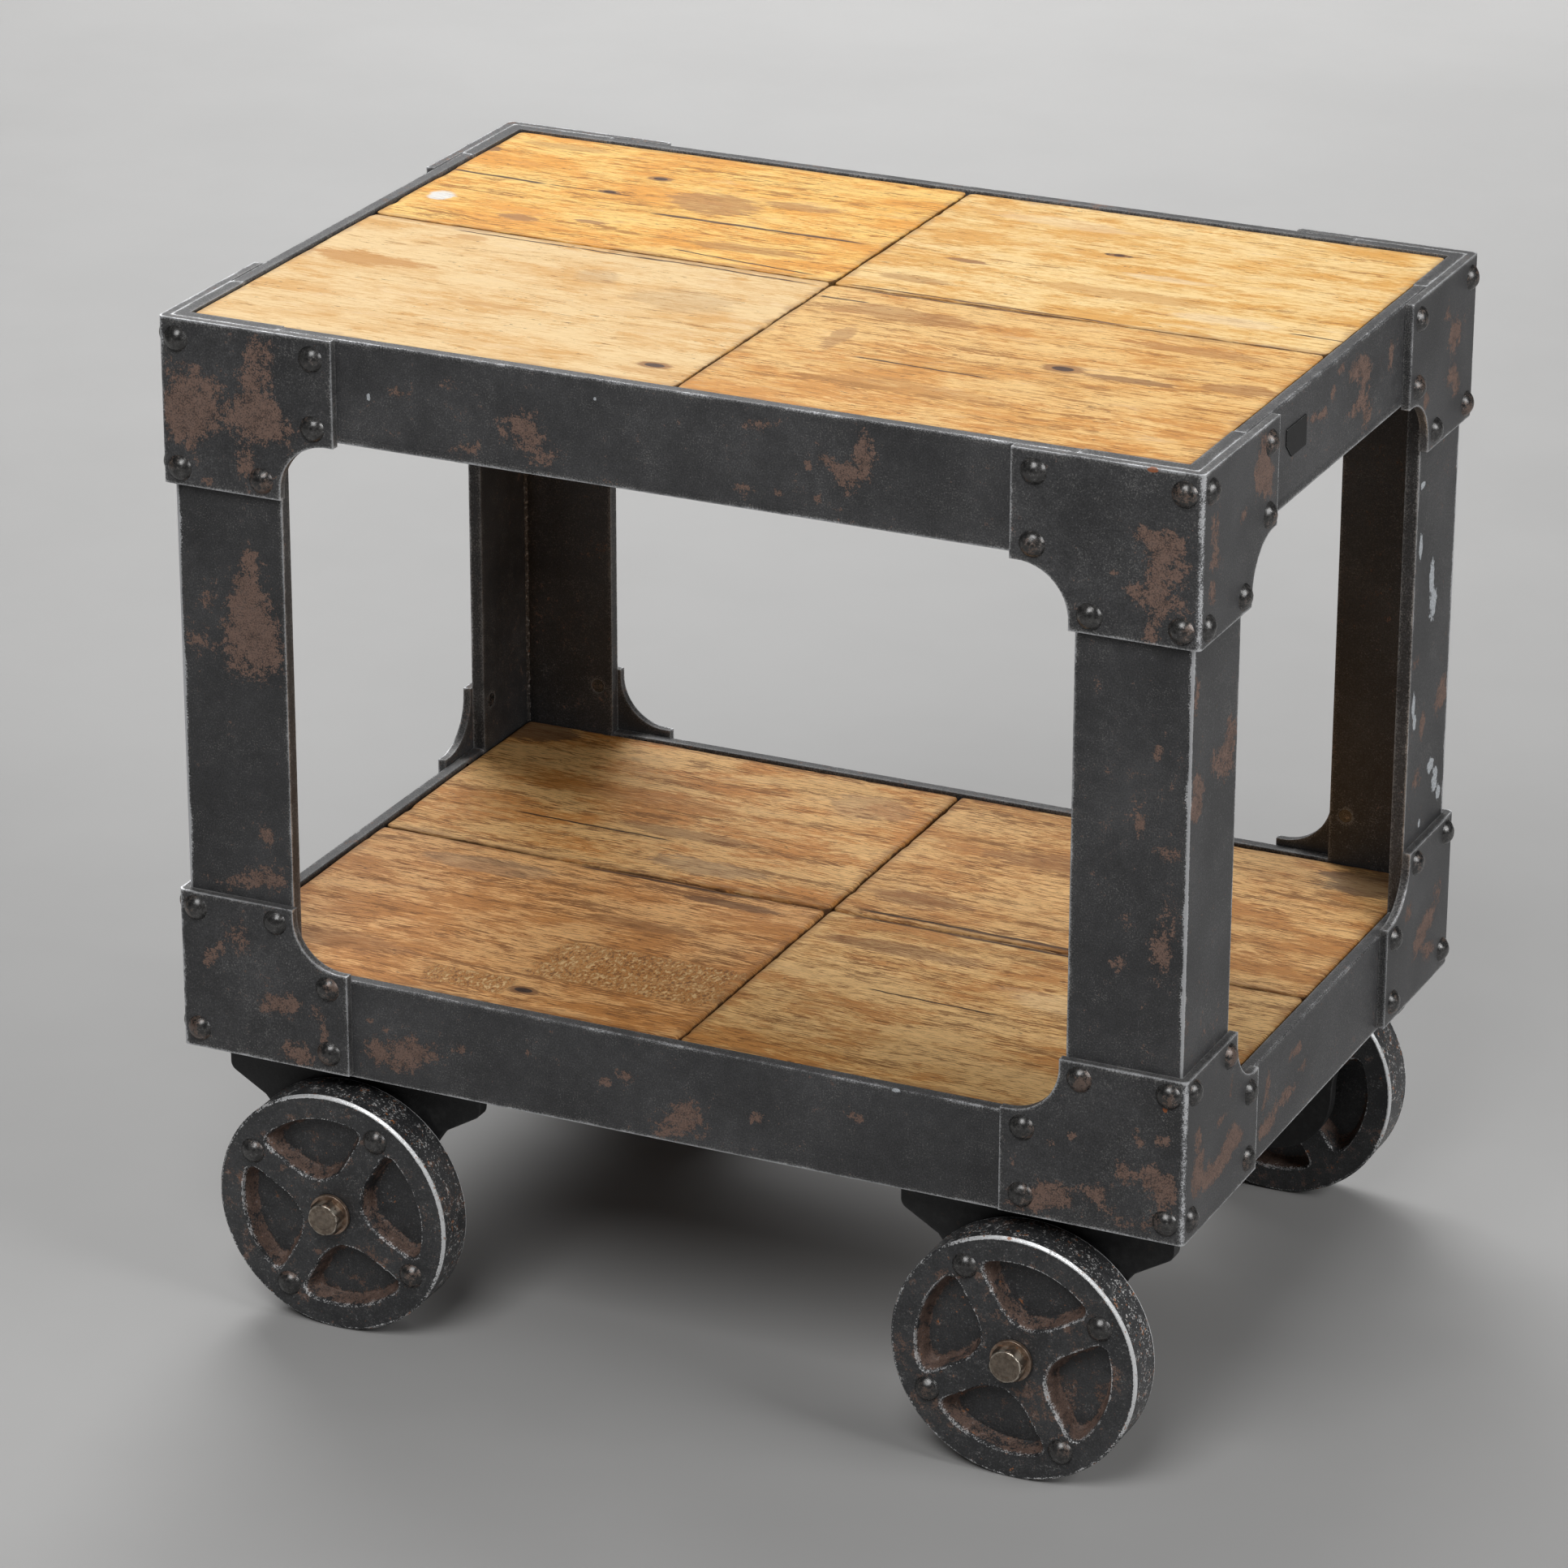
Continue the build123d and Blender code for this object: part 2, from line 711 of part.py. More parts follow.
# Blank tag with one clipped corner, on the right upper rail
tag_top = overall_height - tag_drop
with BuildPart() as tag:
    with BuildSketch(end_plane(1, plate_t)):
        with BuildLine():
            Polyline(
                (tag_y - tag_length / 2, tag_top),
                (tag_y + tag_length / 2, tag_top),
                (tag_y + tag_length / 2, tag_top - tag_height),
                (tag_y - tag_length / 2 + tag_clip, tag_top - tag_height),
                (tag_y - tag_length / 2, tag_top - tag_height + tag_clip),
                close=True,
            )
        make_face()
    extrude(amount=tag_t)
save(tag.part, "rail_tag")
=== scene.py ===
import json
import math
import random

import bmesh
import bpy
from mathutils import Matrix, Vector, noise


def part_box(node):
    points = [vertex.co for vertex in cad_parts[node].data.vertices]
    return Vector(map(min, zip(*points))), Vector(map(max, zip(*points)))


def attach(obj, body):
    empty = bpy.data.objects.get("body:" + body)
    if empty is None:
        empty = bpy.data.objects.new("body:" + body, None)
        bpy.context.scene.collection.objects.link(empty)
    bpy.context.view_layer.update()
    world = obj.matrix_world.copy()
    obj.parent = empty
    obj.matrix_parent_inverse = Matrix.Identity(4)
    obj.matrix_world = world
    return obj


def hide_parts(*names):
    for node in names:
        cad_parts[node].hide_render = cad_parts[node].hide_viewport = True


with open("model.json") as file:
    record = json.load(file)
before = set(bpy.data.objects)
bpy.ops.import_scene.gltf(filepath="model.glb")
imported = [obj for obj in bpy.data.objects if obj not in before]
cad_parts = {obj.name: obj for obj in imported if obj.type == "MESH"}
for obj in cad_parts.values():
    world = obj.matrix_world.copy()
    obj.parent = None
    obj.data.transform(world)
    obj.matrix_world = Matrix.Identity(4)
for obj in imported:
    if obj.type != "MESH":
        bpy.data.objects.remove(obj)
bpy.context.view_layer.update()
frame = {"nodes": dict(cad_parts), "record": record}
mm = 0.001
corners = ("front_left", "front_right", "back_left", "back_right")
print("frame loaded:", len(frame["nodes"]), "nodes")


class Wire:
    # one socket of a finish; arithmetic on it adds Math nodes

    def __init__(self, finish, socket):
        self.finish = finish
        self.socket = socket

    def math(self, operation, *values):
        return self.finish.node("ShaderNodeMath", {"operation": operation}, values)

    def __add__(self, other):
        return self.math("ADD", self, other)

    def __radd__(self, other):
        return self.math("ADD", other, self)

    def __sub__(self, other):
        return self.math("SUBTRACT", self, other)

    def __rsub__(self, other):
        return self.math("SUBTRACT", other, self)

    def __mul__(self, other):
        return self.math("MULTIPLY", self, other)

    def __rmul__(self, other):
        return self.math("MULTIPLY", other, self)

    def __truediv__(self, other):
        return self.math("DIVIDE", self, other)

    def __rtruediv__(self, other):
        return self.math("DIVIDE", other, self)

    def __abs__(self):
        return self.math("ABSOLUTE", self)

    def most(self, other):
        return self.math("MAXIMUM", self, other)

    def least(self, other):
        return self.math("MINIMUM", self, other)


class Finish:
    # a material that is built from expressions on wires

    def __init__(self, name):
        self.material = bpy.data.materials.new(name)
        self.material.use_nodes = True
        self.tree = self.material.node_tree
        self.tree.nodes.clear()
        self.place = self.node("ShaderNodeTexCoord", out="Object")

    def node(self, kind, settings=None, values=(), out=0):
        made = self.tree.nodes.new(kind)
        for setting, value in (settings or {}).items():
            if setting == "stops":
                self.fillRamp(made.color_ramp, value)
            else:
                setattr(made, setting, value)
        for socket, value in values.items() if isinstance(values, dict) else enumerate(values):
            if isinstance(value, Wire):
                self.tree.links.new(value.socket, made.inputs[socket])
            else:
                made.inputs[socket].default_value = value
        return Wire(self, made.outputs[out]) if made.outputs else None

    def fillRamp(self, ramp, stops):
        while len(ramp.elements) < len(stops):
            ramp.elements.new(1.0)
        for element, (position, colour) in zip(ramp.elements, stops):
            element.position = position
            element.color = (*colour, 1.0)

    def ramp(self, value, stops):
        return self.node("ShaderNodeValToRGB", {"stops": stops}, [value], out="Color")

    def mix(self, mask, under, over):
        under = under if isinstance(under, Wire) else (*under, 1.0)
        over = over if isinstance(over, Wire) else (*over, 1.0)
        return self.node("ShaderNodeMix", {"data_type": "RGBA"}, {0: mask, 6: under, 7: over}, out=2)

    def vector(self, operation, *values, out="Vector"):
        return self.node("ShaderNodeVectorMath", {"operation": operation}, values, out=out)

    def axis(self, vector, letter):
        return self.node("ShaderNodeSeparateXYZ", None, [vector], out=letter)

    def join(self, x, y, z):
        return self.node("ShaderNodeCombineXYZ", None, [x, y, z])

    # cloudy pattern, 0 to 1; stretch gives the scale along each axis
    def cloud(self, scale, detail, rough, stretch=(1, 1, 1), shift=0.0, at=None):
        placed = self.vector("MULTIPLY_ADD", at or self.place, stretch, (shift, shift * 0.7, shift * 1.3))
        values = {"Vector": placed, "Scale": scale, "Detail": detail, "Roughness": rough}
        return self.node("ShaderNodeTexNoise", None, values, out=0)

    # smooth step from 0 at low to 1 at high; falls where high is below low
    def step(self, value, low, high):
        values = {"Value": value, "From Min": low, "From Max": high}
        return self.node("ShaderNodeMapRange", {"interpolation_type": "SMOOTHSTEP"}, values)

    # 1 at the middle of a soft ellipsoid, 0 at its reach
    def spot(self, middle, reach):
        offset = self.vector("SUBTRACT", self.place, middle)
        away = self.vector("LENGTH", self.vector("DIVIDE", offset, reach), out="Value")
        return self.step(away, 1.0, 0.0)

    # how near a convex edge of the piece is, about 0.5 on the edge itself
    def edge(self, reach):
        settings = {"inside": True, "only_local": True, "samples": 5}
        return 1.0 - self.node("ShaderNodeAmbientOcclusion", settings, {"Distance": reach}, out="AO")

    def bump(self, height, depth):
        return self.node("ShaderNodeBump", None, {"Strength": 1.0, "Distance": depth, "Height": height})

    def done(self, **sockets):
        values = {key.replace("_", " "): value for key, value in sockets.items()}
        shader = self.node("ShaderNodeBsdfPrincipled", None, values)
        self.node("ShaderNodeOutputMaterial", None, {"Surface": shader})
        return self.material


def newPiece(name, bm, finish, body, nodes, smooth=35.0):
    mesh = bpy.data.meshes.new(name)
    bm.to_mesh(mesh)
    bm.free()
    mesh.materials.clear()
    mesh.materials.append(finish)
    mesh.shade_smooth()
    mesh.set_sharp_from_angle(angle=math.radians(smooth))
    piece = bpy.data.objects.new(name, mesh)
    bpy.context.scene.collection.objects.link(piece)
    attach(piece, body)
    if nodes:
        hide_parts(*nodes)
    return piece


def meshOf(node):
    bm = bmesh.new()
    bm.from_mesh(frame["nodes"][node].data)
    bmesh.ops.remove_doubles(bm, verts=bm.verts, dist=0.001 * mm)
    bm.verts.ensure_lookup_table()
    return bm


# the CAD shape with its edges eased, as a piece of its own
def easedPiece(node, finish, ease=0.5 * mm):
    flatAngle, sharpAngle = math.radians(0.6), math.radians(28)
    bm = meshOf(node)
    bmesh.ops.dissolve_limit(bm, angle_limit=flatAngle, verts=bm.verts, edges=bm.edges)
    bevel = newPiece(node + "_eased", bm, finish, "cart_frame", [node]).modifiers.new("ease", "BEVEL")
    bevel.width = ease
    bevel.segments = 2
    bevel.limit_method = "ANGLE"
    bevel.angle_limit = sharpAngle
    bevel.harden_normals = True
    bevel.use_clamp_overlap = True


# separate solids of a node, in a fixed order
def solidsOf(node):
    bm = meshOf(node)
    seen = set()
    solids = []
    for first in bm.verts:
        if first.index in seen:
            continue
        seen.add(first.index)
        group = [first]
        for vert in group:
            for link in vert.link_edges:
                other = link.other_vert(vert)
                if other.index not in seen:
                    seen.add(other.index)
                    group.append(other)
        solids.append([vert.co.copy() for vert in group])
    bm.free()
    middle = lambda points: [round(sum(p[k] for p in points) / len(points), 5) for k in range(3)]
    return sorted(solids, key=middle)


def boxOf(points):
    return tuple(Vector([pick(p[k] for p in points) for k in range(3)]) for pick in (min, max))


steelLook = {
    "paint": (0.047, 0.047, 0.0485),
    "paintLight": (0.080, 0.080, 0.082),
    "paintDark": (0.027, 0.027, 0.028),
    "brown": (0.225, 0.142, 0.110),
    "brownDark": (0.080, 0.052, 0.041),
    "dust": (0.20, 0.195, 0.185),
    "bright": (0.72, 0.73, 0.75),
    "white": (0.60, 0.63, 0.66),
    "whiteDark": (0.36, 0.38, 0.40),
    "orange": (0.40, 0.12, 0.035),
    "roughness": 0.46,
    "gloss": 0.38,
    "edgeReach": 1.7 * mm,  # width of the bright edges
    "dustReach": 4.2 * mm,
    "bendReach": 4.2 * mm,
    "relief": 0.30 * mm,
}

# Where the paint has gone brown: distance along the face, height, half width, half height and
# strength, in millimetres from the lower corner of the piece at its left or front end.
frontPatches = {
    "upper_plate_front_left": [
        (20, 50, 24, 20, 0.34), (16, 37, 14, 16, 0.26), (60, 60, 12, 26, 0.28), (65, 84, 10, 10, 0.23),
        (63, 42, 22, 13, 0.34), (52, 20, 8, 10, 0.30), (28, 4, 5, 4, 0.22)],
    "upper_plate_front_right": [
        (72, 58, 6, 5, 0.30), (85, 55, 9, 9, 0.28), (82, 39, 9, 14, 0.32), (80, 20, 10, 12, 0.28),
        (68, 27, 5, 5, 0.24), (57, 35, 2.5, 2.5, 0.32), (78, 4, 5, 10, 0.22), (95, 37, 6, 28, 0.18)],
    "lower_plate_front_left": [
        (38, 74, 9, 11, 0.25), (18, 56, 5, 7, 0.28), (25, 62, 4, 6, 0.22), (55, 34, 8, 7, 0.25),
        (68, 36, 9, 8, 0.31), (87, 34, 6, 7, 0.24), (73, 7, 11, 9, 0.34), (90, 22, 4, 7, 0.28)],
    "lower_plate_front_right": [
        (18, 8, 14, 9, 0.30), (33, 16, 12, 8, 0.34), (55, 21, 10, 7, 0.34), (70, 37, 5, 7, 0.30),
        (87, 35, 12, 10, 0.32), (95, 27, 6, 14, 0.24), (92, 58, 5, 5, 0.30), (78, 58, 4, 6, 0.24),
        (41, 52, 3, 3, 0.28), (29, 45, 4, 3, 0.28), (70, 10, 30, 6, 0.16)],
    "upper_rail_front": [
        (75, 36, 9, 8, 0.24), (72, 26, 6, 6, 0.26), (130, 33, 7, 4, 0.28), (158, 43, 8, 4, 0.18),
        (202, 25, 14, 11, 0.32), (215, 11, 15, 10, 0.22), (170, 8, 10, 5, 0.22), (80, 4, 12, 4, 0.20),
        (45, 13, 6, 8, 0.18), (340, 47, 9, 4, 0.23), (398, 36, 8, 12, 0.27), (390, 23, 9, 8, 0.28),
        (377, 33, 5, 5, 0.29), (367, 29, 3, 3, 0.32), (385, 29, 5, 5, 0.24), (330, 11, 6, 3, 0.26),
        (350, 11, 3, 3, 0.32), (372, 11, 2.5, 2.5, 0.30), (398, 50, 6, 14, 0.17)],
    "lower_rail_front": [
        (45, 14, 12, 10, 0.24), (75, 12, 18, 9, 0.18), (105, 20, 8, 9, 0.29), (120, 14, 15, 8, 0.29),
        (133, 24, 16, 7, 0.29), (160, 30, 6, 4, 0.26), (80, 46, 5, 4, 0.24), (102, 36, 3, 2, 0.24),
        (200, 36, 2, 3, 0.26), (248, 28, 5, 4, 0.26), (260, 34, 8, 4, 0.24), (298, 20, 12, 8, 0.30),
        (290, 10, 18, 8, 0.20), (338, 24, 6, 4, 0.28), (397, 36, 5, 4, 0.24)],
    "leg_front_left": [
        (40, 276, 8, 14, 0.24), (45, 258, 18, 28, 0.25), (37, 242, 14, 20, 0.22), (55, 246, 12, 22, 0.20),
        (43, 298, 7, 8, 0.20), (17, 268, 4, 6, 0.22), (50, 136, 6, 8, 0.22), (47, 110, 16, 7, 0.26),
        (10, 242, 10, 12, 0.18), (25, 104, 20, 5, 0.18)],
    "leg_front_right": [
        (47, 274, 3, 5, 0.28), (28, 154, 6, 6, 0.24), (50, 158, 8, 16, 0.22), (32, 178, 6, 6, 0.18),
        (55, 176, 7, 18, 0.18), (55, 220, 8, 6, 0.18), (38, 232, 3, 14, 0.18)],
}
rightPatches = {
    "upper_plate_front_right": [
        (83, 78, 8, 13, 0.30), (87, 64, 10, 10, 0.32), (17, 60, 6, 10, 0.24), (17, 44, 8, 6, 0.29),
        (15, 27, 6, 10, 0.22), (57, 55, 6, 4, 0.22), (75, 72, 6, 10, 0.22)],
    "upper_plate_back_right": [
        (72, 57, 12, 10, 0.32), (68, 35, 11, 8, 0.28), (78, 24, 7, 8, 0.26), (57, 72, 6, 5, 0.24),
        (27, 32, 5, 5, 0.26)],
    "upper_rail_right": [
        (163, 43, 14, 8, 0.31), (177, 36, 9, 10, 0.31), (167, 22, 16, 6, 0.31), (180, 12, 8, 8, 0.29),
        (110, 34, 9, 3, 0.30), (97, 36, 4, 3, 0.26), (126, 42, 3.5, 3.5, 0.30), (137, 51, 7, 3, 0.26),
        (215, 36, 5, 9, 0.26), (200, 36, 4, 5, 0.20)],
    "lower_plate_front_right": [
        (19, 36, 9, 13, 0.34), (45, 26, 22, 8, 0.32), (65, 34, 12, 9, 0.32), (77, 30, 8, 5, 0.28),
        (17, 56, 6, 7, 0.26), (50, 52, 10, 3, 0.22), (65, 63, 3, 8, 0.20)],
    "lower_plate_back_right": [
        (55, 32, 12, 9, 0.32), (68, 40, 12, 8, 0.32), (83, 50, 9, 9, 0.26), (33, 58, 8, 6, 0.26),
        (72, 20, 10, 7, 0.28)],
    "lower_rail_right": [
        (40, 43, 6, 9, 0.28), (63, 37, 5, 8, 0.26), (57, 28, 3, 5, 0.26), (105, 41, 11, 4, 0.26),
        (65, 14, 16, 6, 0.33), (93, 20, 14, 5, 0.32), (117, 27, 8, 4, 0.28)],
    "leg_front_right": [
        (55, 266, 9, 12, 0.29), (38, 260, 12, 8, 0.26), (50, 250, 10, 9, 0.26), (10, 252, 9, 12, 0.28),
        (8, 242, 8, 6, 0.30), (5, 306, 4, 10, 0.24)],
    "leg_back_right": [
        (55, 172, 12, 10, 0.29), (23, 164, 5, 8, 0.28), (17, 134, 8, 5, 0.18), (8, 208, 8, 5, 0.20)],
}
# chips of old white paint on the right faces, and small marks on the front faces
whiteChips = {
    "leg_back_right": [
        (33, 234, 7, 11), (29, 250, 4.5, 14), (40, 134, 6, 5), (49, 122, 6, 8), (56, 112, 4.5, 6),
        (7, 182, 3, 8), (10, 170, 3, 5), (8, 276, 3.5, 9), (54, 333, 8, 3.5), (8, 312, 5, 3),
        (25, 104, 1.8, 2.5)],
}
whiteMarks = {
    "upper_rail_front": [(111, 28.5, 1.1, 2.2), (245, 47, 1, 1)],
    "lower_rail_front": [(420, 57, 3, 1.4)],
}
orangeMarks = {
    "upper_plate_front_right": [(77, 93, 3.5, 1.6)],
    "lower_plate_front_right": [(93, 77, 1.6, 2.2)],
}


def facePoint(node, face, along, up):
    low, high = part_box(node)
    if face == "front":
        return (low.x + along * mm, low.y, low.z + up * mm)
    return (high.x, low.y + along * mm, low.z + up * mm)


def faceReach(face, wide, tall, swell):
    flat = 5 * mm
    wide, tall = wide * mm * swell, tall * mm * swell
    return (wide, flat, tall) if face == "front" else (flat, wide, tall)


def marksOn(node, face, table, swell=1.65):
    found = []
    for along, up, wide, tall, *amount in table.get(node, ()):
        found.append((facePoint(node, face, along, up), faceReach(face, wide, tall, swell), *amount))
    return found


def isCornerPiece(node):
    return node.startswith("leg") or "plate" in node


# where the piece turns round the cart's corner
def outerBend(node):
    low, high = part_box(node)
    return (high.x if high.x > 0 else low.x, high.y if high.y > 0 else low.y, (low.z + high.z) / 2)


# 1 on the outside of the cart, so that the inner edges stay dull
def onOutside(f, node):
    inner, outer, dull = -3.4 * mm, -2.0 * mm, 0.15
    low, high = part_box(node)
    acrossX = abs(f.axis(f.place, "X")) - max(abs(low.x), abs(high.x))
    acrossY = abs(f.axis(f.place, "Y")) - max(abs(low.y), abs(high.y))
    return f.step(acrossX.most(acrossY), inner, outer) * (1 - dull) + dull


# spread: how much brown there is apart from the patches; rubbed: how uneven the bright edges are
def blackSteel(name, node, look, shift, spread, rubbed=1.0):
    f = Finish(name)
    broad = f.cloud(15, 2, 0.5, shift=shift)
    mottle = f.cloud(130, 7, 0.72, shift=shift)
    fine = f.cloud(1150, 3, 0.7)
    ragged = f.cloud(85, 10, 0.80, stretch=(1, 1, 0.8), shift=shift + 3.1)
    along = f.cloud(34, 3, 0.6, shift=shift + 5.3)
    lineEdge = f.edge(look["edgeReach"])
    dustEdge = f.edge(look["dustReach"])

    tone = mottle * 0.30 + fine * 0.70 + (broad - 0.5) * 0.4
    colour = f.mix(f.step(tone, 0.36, 0.52), look["paintDark"], look["paint"])
    colour = f.mix(f.step(tone, 0.50, 0.64), colour, look["paintLight"])
    dust = (fine - 0.5) * 1.5 + (mottle - 0.5) * 0.5 + dustEdge * 0.5 + (along - 0.5) * 0.45
    colour = f.mix(f.step(dust, 0.15, 0.30) * 0.6, colour, look["dust"])

    cover = (broad - 0.5) * 0.35 + (spread - 0.02)
    for face, table, boost in (("front", frontPatches, 1.25), ("right", rightPatches, 1.5)):
        for middle, reach, amount in marksOn(node, face, table):
            cover = cover + f.spot(middle, reach) * (amount * boost)
    flecks = f.cloud(430, 5, 0.75, shift=shift + 1.7)
    tooth = (ragged - 0.5) * 0.9 + (mottle - 0.5) * 0.9 + (flecks - 0.5) * 0.9 + (fine - 0.5) * 0.4
    brown = f.step(cover + tooth, 0.19, 0.27)
    brownTone = f.mix(f.step(fine * 0.6 + mottle * 0.4, 0.38, 0.56), look["brownDark"], look["brown"])
    grainy = f.step(fine * 0.5 + flecks * 0.5, 0.40, 0.54) * 0.42 + 0.54
    colour = f.mix(brown * grainy, colour, brownTone)

    bendReach = (look["bendReach"], look["bendReach"], 1.0)
    bend = f.spot(outerBend(node), bendReach) if isCornerPiece(node) else 0.0
    rub = lineEdge * 1.2 + bend * 0.50 + (along - 0.5) * 0.9 * rubbed
    rub = rub + (fine - 0.5) * 1.1 + (mottle - 0.5) * 0.6
    worn = f.step(rub, 0.26, 0.46) * f.step(lineEdge + bend, 0.03, 0.16) * onOutside(f, node)
    colour = f.mix(worn * 0.9, colour, look["bright"])

    rustDots = f.step(f.cloud(380, 3, 0.55, shift=shift + 7.7), 0.79, 0.83)
    for middle, reach in marksOn(node, "front", orangeMarks):
        rustDots = rustDots.most(f.step(f.spot(middle, reach) + (ragged - 0.5), 0.40, 0.50))
    colour = f.mix(rustDots * 0.8, colour, look["orange"])

    chipped = 0.0
    for middle, reach in marksOn(node, "right", whiteChips, 1.25) + marksOn(node, "front", whiteMarks, 1.25):
        area = f.spot(middle, reach)
        broken = (ragged - 0.5) * 1.8 + (mottle - 0.5) * 1.4 + (flecks - 0.5) * 1.5
        chip = f.step(area + broken, 0.22, 0.30) * f.step(area, 0.02, 0.10)
        chipped = chip + chipped
    if isinstance(chipped, Wire):
        chipped = chipped.least(1.0)
        white = f.mix(f.step(fine, 0.42, 0.58), look["white"], look["whiteDark"])
        colour = f.mix(chipped * 0.9, colour, white)

    height = fine * 0.5 + mottle * 0.5 - brown * 0.3 - worn * 0.3 + chipped * 0.5
    rough = look["roughness"] + (mottle - 0.5) * 0.25 + brown * 0.2 - worn * 0.1 + chipped * 0.1
    return f.done(
        Base_Color=colour, Roughness=rough, Metallic=worn * 0.7, Specular_IOR_Level=look["gloss"],
        Normal=f.bump(height, look["relief"]),
    )


# the rails and plates are a little paler than the legs
paler = 1.2
barLook = dict(steelLook)
for paint in ("paint", "paintLight", "paintDark"):
    barLook[paint] = tuple(c * paler for c in steelLook[paint])


# faces that have no patches of their own get some brown all over
def spreadOf(node):
    return 0.0 if node in frontPatches or node in rightPatches else 0.045


for number, corner in enumerate(corners):
    leg = f"leg_{corner}"
    steel = blackSteel(f"leg steel {corner}", leg, steelLook, number * 2.3, spreadOf(leg) * 0.7)
    easedPiece(leg, steel)
for number, side in enumerate(("front", "back", "left", "right")):
    for deck, start in (("upper", 0), ("lower", 20)):
        rail = f"{deck}_rail_{side}"
        finish = blackSteel(f"{deck} rail steel {side}", rail, barLook, number * 1.9 + start, spreadOf(rail))
        easedPiece(rail, finish)
for number, corner in enumerate(corners):
    for deck, start in (("upper", 10), ("lower", 40)):
        plate = f"{deck}_plate_{corner}"
        spread = spreadOf(plate) * 1.5
        finish = blackSteel(f"{deck} plate steel {corner}", plate, barLook, number * 3.7 + start, spread, 1.1)
        easedPiece(plate, finish, ease=0.6 * mm)
print("frame steel done")


rivetLook = {
    "dark": (0.020, 0.0195, 0.0195),
    "light": (0.055, 0.053, 0.051),
    "brown": (0.15, 0.095, 0.070),
    "glint": (0.42, 0.42, 0.42),
    "segments": 28,
    "rings": 9,
    "hammerMarks": 9,
    "markTilt": 0.95,
    "markDepth": (0.08 * mm, 0.30 * mm),
}


def rivetFinish(name):
    f = Finish(name)
    mottle = f.cloud(420, 5, 0.7)
    fine = f.cloud(1700, 2, 0.6)
    broad = f.cloud(60, 2, 0.5)
    colour = f.mix(f.step(mottle, 0.38, 0.60), rivetLook["dark"], rivetLook["light"])
    brown = f.step(mottle + (broad - 0.5) * 1.2 + (fine - 0.5) * 0.6, 0.60, 0.70)
    colour = f.mix(brown * 0.8, colour, rivetLook["brown"])
    glint = f.step((fine - 0.5) + (mottle - 0.5) * 1.1, 0.19, 0.28)
    colour = f.mix(glint * 0.6, colour, rivetLook["glint"])
    rough = 0.27 + (mottle - 0.5) * 0.18 + brown * 0.12
    height = mottle * 0.6 + fine * 0.4
    return f.done(
        Base_Color=colour, Roughness=rough, Metallic=0.30 + glint * 0.4, Specular_IOR_Level=1.0,
        Normal=f.bump(height, 0.10 * mm),
    )


# one hammered rivet: a dome on its shank, turned about the line it stands on
def addRivet(bm, points, axis, outward, seed):
    low, high = boxOf(points)
    across = [k for k in range(3) if k != axis]
    middle = (low + high) / 2
    reach = lambda p: math.hypot(p[across[0]] - middle[across[0]], p[across[1]] - middle[across[1]])
    headRadius = max(reach(p) for p in points)
    along = lambda p: (p[axis] - middle[axis]) * outward
    top = max(along(p) for p in points)
    tail = min(along(p) for p in points)
    base = min(along(p) for p in points if reach(p) > 0.97 * headRadius)
    shankRadius = max(reach(p) for p in points if along(p) < tail + 1e-5)
    height = top - base
    curve = (headRadius**2 + height**2) / (2 * height)
    centre = base + height - curve

    dice = random.Random(seed)
    flats = []
    for _ in range(rivetLook["hammerMarks"]):
        tilt = dice.uniform(0.0, rivetLook["markTilt"])
        turn = dice.uniform(0.0, 2 * math.pi)
        normal = Vector((math.sin(tilt) * math.cos(turn), math.sin(tilt) * math.sin(turn), math.cos(tilt)))
        flats.append((normal, curve - dice.uniform(*rivetLook["markDepth"])))

    profile = [(0.0, tail), (shankRadius, tail), (shankRadius, base), (headRadius - 0.2 * mm, base)]
    edgeAngle = math.asin(min(1.0, headRadius / curve))
    for ring in range(rivetLook["rings"]):
        angle = edgeAngle * (1 - ring / rivetLook["rings"])
        profile.append((curve * math.sin(angle), centre + curve * math.cos(angle)))
    profile.append((0.0, top))

    rows = []
    for radius, level in profile:
        row = []
        count = 1 if radius == 0.0 else rivetLook["segments"]
        for step in range(count):
            turn = 2 * math.pi * step / rivetLook["segments"]
            local = Vector((radius * math.cos(turn), radius * math.sin(turn), level - centre))
            if level > base + 0.2 * mm:
                for normal, distance in flats:
                    over = local.dot(normal) - distance
                    if over > 0:
                        local -= normal * over * 0.9
                local *= 1 - 0.006 * noise.noise(local * 900 + Vector((seed, 0, 0)))
            spot = Vector((0, 0, 0))
            spot[across[0]] = middle[across[0]] + local.x
            spot[across[1]] = middle[across[1]] + local.y
            spot[axis] = middle[axis] + (local.z + centre) * outward
            row.append(bm.verts.new(spot))
        rows.append(row)
    for lower, upper in zip(rows, rows[1:]):
        for step in range(rivetLook["segments"]):
            after = (step + 1) % rivetLook["segments"]
            ring = [lower[step % len(lower)], lower[after % len(lower)]]
            ring += [upper[after % len(upper)], upper[step % len(upper)]]
            bm.faces.new(list(dict.fromkeys(ring)))


def rivetPiece(node, body, finish, sideways):
    bm = bmesh.new()
    for number, points in enumerate(solidsOf(node)):
        low, high = boxOf(points)
        size = high - low
        axis = 1 if sideways else max((0, 1), key=lambda k: abs(size[k] - size[2]))
        addRivet(bm, points, axis, 1 if (low[axis] + high[axis]) > 0 else -1, number + 1)
    bmesh.ops.recalc_face_normals(bm, faces=bm.faces)
    newPiece(node + "_hammered", bm, finish, body, [node], smooth=50)


domes = rivetFinish("rivet steel")
for deck in ("upper", "lower"):
    rivetPiece(f"{deck}_plate_rivets", "cart_frame", domes, False)
print("rivets done")


